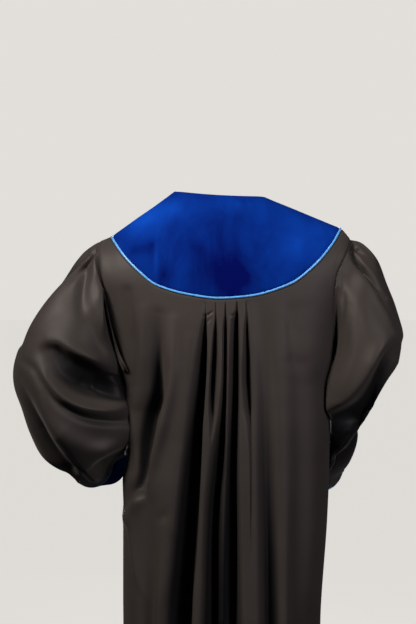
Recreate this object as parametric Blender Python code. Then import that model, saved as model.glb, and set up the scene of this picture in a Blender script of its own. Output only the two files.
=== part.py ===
"""Judicial robe, worn form with both hands at the hips.

Metres, +Z up.  The back of the robe faces +Y and the wearer's left is +X.
The origin is on the centre back line, at the height of the neck opening.
Every cloth piece is a sheet laid on one torso form (or one sleeve form) and
thickened outwards; neighbouring pieces stay SEAM_GAP apart at their seams.
"""

import math
from collections import namedtuple

import bmesh
import bpy
import numpy as np
from mathutils import Vector

# ---------------------------------------------------------------- sizes ----
SEAM_GAP = 0.0003          # between neighbouring pieces
CLOTH = 0.0015             # robe cloth wall
VELVET = 0.0021            # velvet wall with its pile
PIPING_R = 0.0023          # corded piping, radius
NECK_DIP_BACK = 0.006      # back neckline below the line of its corners
NECK_DIP_FRONT = 0.088     # front neckline below the same line
UNDERARM_Z = -0.406
HEM_Z = -1.350
ROUNDNESS = 2.5            # exponent of the torso rings
SHOULDER_ROUND_MID = 0.200  # height over which the back rolls to the shoulder
SHOULDER_ROUND_END = 0.105  # the same at the armhole
ARMHOLE_ROWS = 10          # rows from the shoulder to the underarm
SKIRT_ROWS = 9             # rows from the underarm to the hem
YOKE_ROWS = 5
CUFF_LENGTH = 0.066
CUFF_R = 0.058
FLY_WIDTH = 0.040

# half widths and depths of the torso form at each height
Ring = namedtuple("Ring", "z left right back front")
TORSO = [
    Ring(0.040, 0.370, 0.360, 0.104, 0.092),
    Ring(-0.090, 0.350, 0.340, 0.117, 0.116),
    Ring(-0.160, 0.318, 0.290, 0.128, 0.131),
    Ring(-0.220, 0.295, 0.2725, 0.135, 0.141),
    Ring(-0.280, 0.272, 0.258, 0.139, 0.148),
    Ring(-0.350, 0.246, 0.241, 0.141, 0.152),
    Ring(-0.406, 0.2240, 0.2255, 0.141, 0.153),
    Ring(-0.460, 0.2125, 0.2250, 0.140, 0.153),
    Ring(-0.520, 0.2090, 0.2240, 0.140, 0.154),
    Ring(-0.570, 0.2140, 0.2228, 0.141, 0.156),
    Ring(-0.610, 0.2215, 0.2220, 0.143, 0.158),
    Ring(-0.690, 0.2203, 0.2185, 0.147, 0.162),
    Ring(-0.925, 0.2203, 0.2042, 0.160, 0.172),
    Ring(-1.100, 0.2400, 0.2240, 0.175, 0.185),
    Ring(-1.350, 0.2680, 0.2560, 0.202, 0.208),
]

# shoulder line from the right armhole over the neck to the left armhole
Shoulder = namedtuple("Shoulder", "x z")
SHOULDER = [
    Shoulder(-0.2701, -0.0908),
    Shoulder(-0.2484, -0.0669),
    Shoulder(-0.0792, 0.0026),
    Shoulder(0.0140, 0.0330),
    Shoulder(0.1074, 0.0134),
    Shoulder(0.2463, -0.0842),
    Shoulder(0.2724, -0.0951),
]
NECK_LEFT_X = 0.1074
NECK_RIGHT_X = -0.0792
TIP_LEFT_X = 0.2463        # where the yoke edge crosses the shoulder
TIP_RIGHT_X = -0.2484

# armhole seam: distance from the centre back at each height
Armhole = namedtuple("Armhole", "z x")
ARMHOLE_LEFT = [
    Armhole(-0.0951, 0.2724), Armhole(-0.1575, 0.2659),
    Armhole(-0.2193, 0.2574), Armhole(-0.2768, 0.2467),
    Armhole(-0.3514, 0.2318), Armhole(-0.4060, 0.2240),
]
ARMHOLE_RIGHT = [
    Armhole(-0.0908, -0.2701), Armhole(-0.1400, -0.2470),
    Armhole(-0.1739, -0.2320), Armhole(-0.2212, -0.2272),
    Armhole(-0.3000, -0.2264), Armhole(-0.4060, -0.2255),
]

# lower edge of the yoke, right tip to left tip
Edge = namedtuple("Edge", "x z")
YOKE_EDGE_BACK = [
    Edge(-0.2484, -0.0669), Edge(-0.2226, -0.1060), Edge(-0.1811, -0.1522),
    Edge(-0.1309, -0.1886), Edge(-0.0451, -0.2138), Edge(0.0151, -0.2179),
    Edge(0.0817, -0.2095), Edge(0.1447, -0.1905), Edge(0.1836, -0.1605),
    Edge(0.2153, -0.1274), Edge(0.2463, -0.0842),
]
YOKE_EDGE_FRONT = [
    Edge(-0.2484, -0.0669), Edge(-0.2200, -0.1180), Edge(-0.1750, -0.1700),
    Edge(-0.1100, -0.2130), Edge(0.0000, -0.2340), Edge(0.1100, -0.2150),
    Edge(0.1750, -0.1760), Edge(0.2180, -0.1270), Edge(0.2463, -0.0842),
]

# columns of the back from left to right, as shares of the half width at the
# yoke seam and at hip height; press is how far a column lies in a pleat,
# 1 at its bottom
Column = namedtuple("Column", "top low press")
BACK_COLUMNS = [
    Column(1.0000, 1.0000, 0.0), Column(0.9700, 0.9780, 0.0),
    Column(0.9038, 0.9250, 0.0), Column(0.8000, 0.8550, 0.0),
    Column(0.6800, 0.7850, 0.0), Column(0.5600, 0.7050, 0.0),
    Column(0.4400, 0.6150, 0.0), Column(0.3200, 0.5200, 0.0),
    Column(0.1970, 0.4235, -0.15), Column(0.1589, 0.3256, 1.0),
    Column(0.1210, 0.2475, -0.10), Column(0.0823, 0.1694, 1.0),
    Column(0.0421, 0.0960, -0.10), Column(0.0018, 0.0226, 1.0),
    Column(-0.0425, -0.0417, -0.10), Column(-0.0863, -0.1045, 0.9),
    Column(-0.1227, -0.1767, -0.10), Column(-0.1591, -0.2489, 0.9),
    Column(-0.1980, -0.3100, -0.15), Column(-0.3100, -0.3720, 0.0),
    Column(-0.4200, -0.4550, 0.0), Column(-0.5300, -0.5550, 0.0),
    Column(-0.6400, -0.6600, 0.0), Column(-0.7600, -0.7750, 0.0),
    Column(-0.8500, -0.8650, 0.0), Column(-0.9200, -0.9320, 0.0),
    Column(-0.9700, -0.9780, 0.0), Column(-1.0000, -1.0000, 0.0),
]
# columns of a front from the side to the centre
FRONT_COLUMNS = [
    Column(1.000, 1.000, 0.0), Column(0.970, 0.978, 0.0),
    Column(0.910, 0.925, 0.0), Column(0.860, 0.885, 0.0),
    Column(0.770, 0.820, 0.0), Column(0.670, 0.740, 0.0),
    Column(0.560, 0.645, 0.0), Column(0.450, 0.545, 0.0),
    Column(0.340, 0.430, 0.0), Column(0.220, 0.300, 0.0),
    Column(0.110, 0.160, 0.0), Column(0.000, 0.000, 0.0),
]
# depth of the pleats at each height
Pleat = namedtuple("Pleat", "z depth")
PLEAT_DEPTH = [
    Pleat(-0.222, 0.000), Pleat(-0.245, 0.004), Pleat(-0.300, 0.014),
    Pleat(-0.420, 0.024), Pleat(-0.560, 0.028), Pleat(-0.800, 0.025),
    Pleat(-1.350, 0.014),
]

# folds: path of the fold line (x at heights z), half width and depth at its
# upper and lower end; a trough has a negative depth, a ridge a positive one
Fold = namedtuple("Fold", "x0 z0 x1 z1 x2 z2 width_top width_low depth_top depth_low")
BACK_FOLDS = [
    # soft trough right of the pleats, two on the left
    Fold(-0.0830, -0.285, -0.0830, -0.600, -0.0930, -1.330, 0.012, 0.020, -0.001, -0.026),
    Fold(0.1380, -0.262, 0.1560, -0.480, 0.1620, -0.900, 0.014, 0.022, -0.004, -0.024),
    Fold(0.2050, -0.200, 0.1850, -0.400, 0.1750, -0.520, 0.014, 0.012, -0.003, -0.006),
    # hem flutes that take up the pleats
    Fold(0.0250, -0.560, 0.0260, -0.850, 0.0280, -1.349, 0.024, 0.036, -0.010, -0.040),
    Fold(-0.1700, -0.520, -0.1720, -0.900, -0.1850, -1.349, 0.016, 0.024, -0.002, -0.026),
    Fold(0.1000, -0.620, 0.0980, -0.900, 0.1000, -1.349, 0.016, 0.026, 0.002, 0.022),
]
FRONT_FOLDS = [
    Fold(0.0700, -0.260, 0.0720, -0.600, 0.0850, -1.349, 0.014, 0.026, -0.003, -0.030),
    Fold(0.1260, -0.240, 0.1300, -0.600, 0.1480, -1.349, 0.014, 0.022, -0.003, -0.026),
    Fold(0.1900, -0.220, 0.1850, -0.500, 0.2000, -1.349, 0.012, 0.018, -0.002, -0.016),
]

# sleeve rings from the armhole to the cuff: point on the outer edge, point
# on the inner edge, half depth to the back and to the front
Station = namedtuple("Station", "xo yo zo xi yi zi back fore")
SLEEVE_LEFT = [
    Station(0.3080, 0.004, -0.1180, 0.2330, 0.000, -0.4130, 0.100, 0.095),
    Station(0.3490, 0.006, -0.1580, 0.2370, 0.000, -0.4220, 0.118, 0.108),
    Station(0.3980, 0.010, -0.2080, 0.2380, 0.002, -0.4300, 0.130, 0.115),
    Station(0.4380, 0.014, -0.2700, 0.2370, 0.004, -0.4380, 0.136, 0.116),
    Station(0.4560, 0.016, -0.3300, 0.2350, 0.004, -0.4480, 0.136, 0.112),
    Station(0.4600, 0.016, -0.3900, 0.2340, 0.002, -0.4590, 0.132, 0.104),
    Station(0.4370, 0.010, -0.4500, 0.2350, -0.002, -0.4710, 0.124, 0.088),
    Station(0.4180, 0.002, -0.5080, 0.2390, -0.008, -0.4830, 0.112, 0.072),
    Station(0.4010, -0.008, -0.5560, 0.2480, -0.012, -0.4970, 0.096, 0.058),
    Station(0.3640, -0.036, -0.5870, 0.2640, -0.034, -0.5150, 0.078, 0.068),
]
SLEEVE_RIGHT = [
    Station(-0.2980, 0.004, -0.0990, -0.2350, 0.000, -0.4130, 0.100, 0.095),
    Station(-0.3340, 0.008, -0.1330, -0.2390, 0.000, -0.4220, 0.118, 0.105),
    Station(-0.3610, 0.012, -0.1850, -0.2400, 0.000, -0.4300, 0.130, 0.110),
    Station(-0.3810, 0.014, -0.2380, -0.2390, -0.002, -0.4380, 0.136, 0.108),
    Station(-0.3870, 0.012, -0.3020, -0.2380, -0.006, -0.4480, 0.134, 0.102),
    Station(-0.3710, 0.004, -0.3500, -0.2380, -0.014, -0.4590, 0.128, 0.093),
    Station(-0.3360, -0.006, -0.4030, -0.2430, -0.026, -0.4720, 0.118, 0.084),
    Station(-0.3180, -0.024, -0.4600, -0.2430, -0.044, -0.4880, 0.104, 0.076),
    Station(-0.3040, -0.052, -0.5280, -0.2460, -0.070, -0.5060, 0.092, 0.070),
    Station(-0.2880, -0.090, -0.5980, -0.2420, -0.106, -0.5260, 0.080, 0.064),
]
# how far the outer edge moves out at each height, as the photo's camera sees it
Ease = namedtuple("Ease", "z out")
OUTLINE_LEFT = [
    Ease(-0.120, 0.0000), Ease(-0.160, -0.0040), Ease(-0.200, -0.0090), Ease(-0.250, -0.0105),
    Ease(-0.310, -0.0110), Ease(-0.350, -0.0050), Ease(-0.380, -0.0010), Ease(-0.420, 0.0005),
    Ease(-0.460, 0.0040), Ease(-0.540, 0.0052), Ease(-0.562, -0.0010), Ease(-0.590, -0.0100),
    Ease(-0.615, -0.0020),
]
OUTLINE_RIGHT = [
    Ease(-0.110, -0.0010), Ease(-0.134, -0.0060), Ease(-0.156, -0.0095), Ease(-0.178, -0.0135),
    Ease(-0.221, -0.0140), Ease(-0.264, -0.0115), Ease(-0.308, -0.0060), Ease(-0.330, -0.0040),
    Ease(-0.351, -0.0080), Ease(-0.385, -0.0135), Ease(-0.416, -0.0145), Ease(-0.438, -0.0105),
    Ease(-0.460, -0.0040), Ease(-0.482, 0.0053), Ease(-0.503, 0.0105), Ease(-0.525, 0.0090),
    Ease(-0.547, 0.0025), Ease(-0.5685, 0.0000), Ease(-0.590, 0.0020), Ease(-0.612, 0.0060),
]
VIEW_X, VIEW_Y, VIEW_Z = 0.038, 3.0, -0.247
# cuff seam ring: centre and the way the wrist points
Cuff = namedtuple("Cuff", "x y z ax ay az")
CUFF_LEFT = Cuff(0.3000, -0.078, -0.5770, -0.50, -0.86, -0.02)
CUFF_RIGHT = Cuff(-0.2220, -0.180, -0.5980, 0.46, -0.86, -0.10)
TORSO_CLEARANCE = 0.040    # share by which a sleeve stays outside the torso
CROOK_EASE = 2             # how often the rings are eased at the elbow crook
TIP_SWING = {1: 0.020, -1: 0.036}  # columns lean out below the yoke tips

# folds of a sleeve: ring number and angle at both ends (0 outer edge,
# 90 back, 180 inner edge), half width in rings and depth
SleeveFold = namedtuple("SleeveFold", "ring0 deg0 ring1 deg1 width depth")
SLEEVE_FOLDS_LEFT = [
    SleeveFold(4.6, 62.0, 5.0, 165.0, 0.75, -0.026),
    SleeveFold(6.8, 40.0, 6.6, 160.0, 0.60, -0.012),
    SleeveFold(1.0, 18.0, 3.8, 14.0, 0.90, -0.008),
]
SLEEVE_FOLDS_RIGHT = [
    SleeveFold(5.2, 50.0, 6.2, 150.0, 0.80, -0.020),
    SleeveFold(1.0, 22.0, 3.6, 30.0, 0.80, -0.008),
]
CAP_GATHERS = 6            # waves round the sleeve head
CAP_GATHER_DEPTH = 0.004

# ------------------------------------------------------------ materials ----
Finish = namedtuple("Finish", "name colour roughness metallic")
ROBE_CLOTH = Finish("robe_cloth", (0.026, 0.023, 0.021, 1.0), 0.55, 0.0)
BLUE_VELVET = Finish("blue_velvet", (0.004, 0.030, 0.260, 1.0), 0.80, 0.0)
BLUE_SATIN = Finish("blue_satin", (0.100, 0.340, 0.780, 1.0), 0.35, 0.0)


def make_material(finish):
    mat = bpy.data.materials.new(finish.name)
    mat.use_nodes = True
    mat.diffuse_color = finish.colour
    shader = mat.node_tree.nodes["Principled BSDF"]
    shader.inputs["Base Color"].default_value = finish.colour
    shader.inputs["Roughness"].default_value = finish.roughness
    shader.inputs["Metallic"].default_value = finish.metallic
    return mat


# ------------------------------------------------------- table to curve ----
def curve(keys, values):
    """Smooth curve through table rows, no overshoot between them."""
    k = np.array(keys, dtype=float)
    v = np.array(values, dtype=float)
    order = np.argsort(k)
    k, v = k[order], v[order]
    step = np.diff(k)
    slope = np.diff(v) / step
    m = np.empty_like(v)
    m[0], m[-1] = slope[0], slope[-1]
    a, b = slope[:-1], slope[1:]
    same = a * b > 0
    m[1:-1] = np.where(same, 2 * a * b / np.where(same, a + b, 1.0), 0.0)

    def at(t):
        t = np.clip(np.asarray(t, dtype=float), k[0], k[-1])
        i = np.clip(np.searchsorted(k, t) - 1, 0, len(k) - 2)
        h = step[i]
        s = (t - k[i]) / h
        return ((2 * s**3 - 3 * s**2 + 1) * v[i] + (s**3 - 2 * s**2 + s) * h * m[i]
                + (3 * s**2 - 2 * s**3) * v[i + 1] + (s**3 - s**2) * h * m[i + 1])
    return at


def column_of(table, name):
    return [getattr(row, name) for row in table]


half_left = curve(column_of(TORSO, "z"), column_of(TORSO, "left"))
half_right = curve(column_of(TORSO, "z"), column_of(TORSO, "right"))
depth_back = curve(column_of(TORSO, "z"), column_of(TORSO, "back"))
depth_front = curve(column_of(TORSO, "z"), column_of(TORSO, "front"))
armhole_left = curve(column_of(ARMHOLE_LEFT, "z"), column_of(ARMHOLE_LEFT, "x"))
armhole_right = curve(column_of(ARMHOLE_RIGHT, "z"), column_of(ARMHOLE_RIGHT, "x"))
pleat_depth = curve(column_of(PLEAT_DEPTH, "z"), column_of(PLEAT_DEPTH, "depth"))
edge_back = curve(column_of(YOKE_EDGE_BACK, "x"), column_of(YOKE_EDGE_BACK, "z"))
edge_front = curve(column_of(YOKE_EDGE_FRONT, "x"), column_of(YOKE_EDGE_FRONT, "z"))


def shoulder_z(x):
    return np.interp(x, column_of(SHOULDER, "x"), column_of(SHOULDER, "z"))


# ------------------------------------------------------------ torso form ---
def torso_depth(x, z, front):
    """Distance of the torso form from the side plane, back or front."""
    x, z = np.broadcast_arrays(np.asarray(x, float), np.asarray(z, float))
    half = np.where(x >= 0, half_left(z), half_right(z))
    share = np.clip(np.abs(x) / half, 0.0, 1.0)
    across = (1.0 - share**ROUNDNESS) ** (1.0 / ROUNDNESS)
    end = np.clip(np.abs(x) / 0.26, 0.0, 1.0)
    roll = SHOULDER_ROUND_MID + (SHOULDER_ROUND_END - SHOULDER_ROUND_MID) * end**2
    drop = np.clip((shoulder_z(x) - z) / roll, 0.0, 1.0)
    over = np.sqrt(1.0 - (1.0 - drop) ** 2)
    depth = depth_front(z) if front else depth_back(z)
    return depth * across * over


def torso_base(x, z, front):
    """Point and outward normal of the plain torso form."""
    x, z = np.broadcast_arrays(np.asarray(x, float), np.asarray(z, float))
    h = 0.0015
    inward = np.where(x >= 0, -1.0, 1.0)
    sign = -1.0 if front else 1.0
    y = torso_depth(x, z, front)
    dx = (torso_depth(x + inward * h, z, front) - y) / (inward * h)
    dz = (y - torso_depth(x, z - h, front)) / h
    normal = np.stack([-dx, sign * np.ones_like(y), -dz], axis=-1)
    normal /= np.linalg.norm(normal, axis=-1, keepdims=True)
    return np.stack([x, sign * y, z], axis=-1), normal


def fold_sum(x, z, folds):
    total = np.zeros(np.broadcast(x, z).shape)
    for f in folds:
        line = curve((f.z0, f.z1, f.z2), (f.x0, f.x1, f.x2))(z)
        t = np.clip((f.z0 - z) / (f.z0 - f.z2), 0.0, 1.0)
        rise = np.clip((f.z0 - z) / 0.05, 0.0, 1.0)
        if f.z2 > HEM_Z + 0.01:
            rise = rise * np.clip((z - f.z2) / 0.25 + 1.0, 0.0, 1.0)
        width = f.width_top + (f.width_low - f.width_top) * t
        depth = f.depth_top + (f.depth_low - f.depth_top) * t
        total = total + depth * rise * np.exp(-((x - line) / width) ** 2)
    return total


def fold_amount(x, z, front):
    """Fold depth; it dies out at the side seam, where the form turns round."""
    table_x = np.abs(x) if front else x
    amount = fold_sum(table_x, z, FRONT_FOLDS if front else BACK_FOLDS)
    half = np.where(x >= 0, half_left(z), half_right(z))
    return amount * np.clip((half - np.abs(x)) / 0.015, 0.0, 1.0)


def unit(v):
    v = np.asarray(v, dtype=float)
    return v / np.maximum(np.linalg.norm(v, axis=-1, keepdims=True), 1e-12)


def grid_normals(grid, like, closed=False):
    """Normals across a grid, on the side that the given normals point to."""
    if closed:
        across = np.roll(grid, -1, axis=1) - np.roll(grid, 1, axis=1)
    else:
        across = np.gradient(grid, axis=1)
    n = unit(np.cross(np.gradient(grid, axis=0), across))
    n[np.sum(n * like, axis=-1) < 0] *= -1.0
    return n


def ridge_normal(x):
    """Upward normal of the shoulder line at x."""
    h = 0.004
    slope = (shoulder_z(x + h) - shoulder_z(x - h)) / (2 * h)
    slope = np.where(x > TOP_LEFT.x - h, (TOP_LEFT.z - SHOULDER[-2].z) / (TOP_LEFT.x - SHOULDER[-2].x), slope)
    slope = np.where(x < TOP_RIGHT.x + h, (SHOULDER[1].z - TOP_RIGHT.z) / (SHOULDER[1].x - TOP_RIGHT.x), slope)
    return unit(np.stack([-slope, 0 * slope, 1 + 0 * slope], axis=-1))


TOP_LEFT, TOP_RIGHT = SHOULDER[-1], SHOULDER[0]


# ----------------------------------------------------------------- sleeves --
def armhole_point(side, degrees):
    """Armhole seam on the torso; 0 is the shoulder, 90 the back, 180 the underarm."""
    a = np.asarray(degrees, float) % 360.0
    front = a > 180.0
    t = np.where(front, 360.0 - a, a) / 180.0
    top = TOP_LEFT if side > 0 else TOP_RIGHT
    z = top.z + (UNDERARM_Z - top.z) * (1.0 - np.cos(math.pi * t)) / 2.0
    x = armhole_left(z) if side > 0 else armhole_right(z)
    pb, nb = torso_base(x, z, False)
    pf, nf = torso_base(x, z, True)
    point = np.where(front[:, None], pf, pb)
    normal = np.where(front[:, None], nf, nb)
    normal[t < 0.01] = ridge_normal(np.array(top.x))
    normal[t > 0.99] = (side, 0.0, 0.0)
    return point, normal


def keep_clear(points):
    """Push points out until they stand clear of the torso form."""
    x, y, z = points[..., 0], points[..., 1], points[..., 2]
    half = np.where(x >= 0, half_left(z), half_right(z))
    depth = np.where(y >= 0, depth_back(z), depth_front(z))
    q = (np.abs(x) / half) ** ROUNDNESS + (np.abs(y) / depth) ** ROUNDNESS
    grow = np.maximum(1.0, (1.0 + TORSO_CLEARANCE) / np.maximum(q, 1e-9) ** (1.0 / ROUNDNESS))
    out = points.copy()
    low = z < UNDERARM_Z + 0.004
    out[..., 0] = np.where(low, x * grow, x)
    out[..., 1] = np.where(low, y * grow, y)
    return out


class Sleeve:
    """Rings of one sleeve with the frame of its cuff seam."""

    def __init__(self, side, stations, cuff, folds):
        self.side = side
        self.folds = folds
        self.axis = unit([cuff.ax, cuff.ay, cuff.az])
        self.centre = np.array([cuff.x, cuff.y, cuff.z])
        self.count = 2 * ARMHOLE_ROWS
        self.degrees = np.arange(self.count) * 360.0 / self.count
        self.outs = [np.array([s.xo, s.yo, s.zo]) for s in stations]
        self.ins = [np.array([s.xi, s.yi, s.zi]) for s in stations]
        self.stations = stations
        mids = [(o + i) / 2.0 for o, i in zip(self.outs, self.ins)]
        seam, self.torso_normal = armhole_point(side, self.degrees)
        self.path = [seam[[0, ARMHOLE_ROWS]].mean(axis=0)] + mids + [self.centre]
        rings = [seam]
        rad = np.radians(self.degrees)
        b = np.array([0.0, 1.0, 0.0])
        for n, s in enumerate(stations):
            a = (self.outs[n] - self.ins[n]) / 2.0
            nxt = unit(np.cross(self.path[n + 2] - self.path[n], a))
            b = nxt if np.dot(nxt, b) > 0 else -nxt
            wide = np.where(np.sin(rad) >= 0, s.back, s.fore)
            rings.append(mids[n] + np.cos(rad)[:, None] * a
                         + (np.sin(rad) * wide)[:, None] * b)
        a = (self.outs[-1] - self.ins[-1]) / 2.0
        self.a = unit(a - self.axis * np.dot(a, self.axis))
        nxt = unit(np.cross(self.axis, self.a))
        self.b = nxt if np.dot(nxt, b) > 0 else -nxt
        rings.append(self.centre + CUFF_R * self.round(rad))
        rings = np.array(rings)
        # the cloth eases over the crook of the elbow instead of creasing there
        crook = ((1.0 - np.cos(rad - math.radians(45.0))) / 2.0)[None, :, None]
        for _ in range(CROOK_EASE):
            mean = (rings[:-2] + rings[2:]) / 2.0
            rings[1:-1] += 0.5 * crook * (mean - rings[1:-1])
        # the outer edge follows the outline that the camera sees
        outline = OUTLINE_LEFT if side > 0 else OUTLINE_RIGHT
        seen = VIEW_Y / (VIEW_Y - rings[1:-1, :, 1])
        level = VIEW_Z + (rings[1:-1, :, 2] - VIEW_Z) * seen
        out = curve(column_of(outline, "z"), column_of(outline, "out"))(level)
        weight = np.clip((np.cos(rad - math.radians(25.0)) - 0.1) / 0.7, 0.0, 1.0)
        weight = weight * weight * (3.0 - 2.0 * weight)
        rings[1:-1, :, 0] += side * out * weight[None, :] / seen
        rings[1:-1] = keep_clear(rings[1:-1])
        self.rings = rings
        # the seam wall lies between torso and sleeve, so both share it
        along = unit(rings[1] - rings[0])
        tangent = np.roll(rings[0], -1, axis=0) - np.roll(rings[0], 1, axis=0)
        own = unit(np.cross(tangent, along))
        out = rings[0] - rings[0].mean(axis=0)
        own[np.sum(own * out, axis=-1) < 0] *= -1.0
        self.seam_normal = unit(own + self.torso_normal)
        lean = np.linalg.norm(np.cross(along, self.seam_normal), axis=-1)
        self.seam_shift = along * (SEAM_GAP * 1.2 / np.maximum(lean, 0.35))[:, None]

    def round(self, rad):
        return np.cos(rad)[:, None] * self.a + np.sin(rad)[:, None] * self.b

    def grid(self):
        rings = self.rings.copy()
        out = rings - rings.mean(axis=1, keepdims=True)
        normals = grid_normals(rings, out, closed=True)
        number = np.arange(len(rings))[:, None] * np.ones((1, self.count))
        angle = np.ones((len(rings), 1)) * self.degrees[None, :]
        amount = np.zeros_like(number)
        for f in self.folds:
            span = f.deg1 - f.deg0
            if abs(span) > 30.0:
                # runs round the sleeve
                t = np.clip((angle - f.deg0) / span, 0.0, 1.0)
                ends = np.clip(1.0 - np.maximum(f.deg0 - angle, angle - f.deg1) / 25.0, 0.0, 1.0)
                off = (number - (f.ring0 + (f.ring1 - f.ring0) * t)) / f.width
                amount += f.depth * ends * np.exp(-off**2)
            else:
                # runs along the sleeve
                t = np.clip((number - f.ring0) / (f.ring1 - f.ring0), 0.0, 1.0)
                off = (angle - (f.deg0 + span * t)) / 14.0
                live = ((number >= f.ring0) & (number <= f.ring1)).astype(float)
                amount += f.depth * live * np.exp(-off**2)
        head = np.clip(number, 0.0, 1.0) * np.clip((4.0 - number) / 3.0, 0.0, 1.0)
        top = np.clip(np.cos(np.radians(angle)) + 0.35, 0.0, 1.0)
        amount += CAP_GATHER_DEPTH * head * top * np.cos(np.radians(angle * CAP_GATHERS))
        quiet = (number > 0.5) & (number < len(rings) - 1.5)
        rings = rings + normals * (amount * quiet)[..., None]
        rings[1:-1] = keep_clear(rings[1:-1])
        normals = grid_normals(rings, out, closed=True)
        normals[0] = self.seam_normal
        normals[-1] = self.round(np.radians(self.degrees))
        rings[0] = rings[0] + self.seam_shift
        # the gathered end stops short of the cuff piping
        rings[-1] = rings[-1] - self.axis * CORD_ROOM
        return rings, normals


CORD_ROOM = PIPING_R + SEAM_GAP
SLEEVES = {
    1: Sleeve(1, SLEEVE_LEFT, CUFF_LEFT, SLEEVE_FOLDS_LEFT),
    -1: Sleeve(-1, SLEEVE_RIGHT, CUFF_RIGHT, SLEEVE_FOLDS_RIGHT),
}


# ------------------------------------------------------------ torso panels --
def share_to_x(share, left, right, skirt=False):
    """Share of the half width to x, measured from the centre line."""
    mid = 0.0 if skirt else (left + right) / 2.0
    return mid + share * ((left - mid) if share >= 0 else (mid - right))


def signed(columns, side):
    """Columns of a piece; those of a right front lie on the right."""
    return [Column(-c.top, -c.low, c.press) for c in columns] if side < 0 else list(columns)


def yoke_seam(columns, front):
    """Points, normals and downward directions along the yoke seam."""
    xs = np.array([share_to_x(c.top, TOP_LEFT.x, TOP_RIGHT.x) for c in columns])
    xs = np.where(xs > TIP_LEFT_X - 0.004, TIP_LEFT_X, xs)
    xs = np.where(xs < TIP_RIGHT_X + 0.004, TIP_RIGHT_X, xs)
    zs = edge_front(xs) if front else edge_back(xs)
    pts, nor = torso_base(xs, zs, front)
    tip = (xs >= TIP_LEFT_X) | (xs <= TIP_RIGHT_X)
    pts[tip, 1] = 0.0
    nor[tip] = ridge_normal(xs[tip])
    tangent = unit(np.gradient(pts, axis=0))
    down = unit(np.cross(tangent, nor))
    flip = np.sum(down * (pts - np.array([0.0, 0.0, 0.02])), axis=-1) < 0
    down[flip] *= -1.0
    for i in np.nonzero(tip)[0]:
        # at the tip the seam crosses the shoulder, and down is along it
        out = np.array([nor[i, 2], 0.0, -nor[i, 0]])
        down[i] = out if out[0] * xs[i] > 0 else -out
    return pts, nor, down


def seam_side(grid, front, cols):
    """Put edge columns half a seam gap from the side plane."""
    y = -0.6 * SEAM_GAP if front else 0.6 * SEAM_GAP
    for c in cols:
        grid[:, c, 1] = y
    return grid


def tip_lean(share, row, upper):
    """Sideways lean of the columns next to a yoke tip."""
    if row > ARMHOLE_ROWS or share == 0.0:
        return 0.0
    side = 1 if share > 0 else -1
    near = math.exp(-((abs(share) - 0.93) / 0.10) ** 2) * min(1.0, (1.0 - abs(share)) / 0.08)
    return side * TIP_SWING[side] * near * math.sqrt(upper[row]) * (1.0 - upper[row]) ** 2


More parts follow.
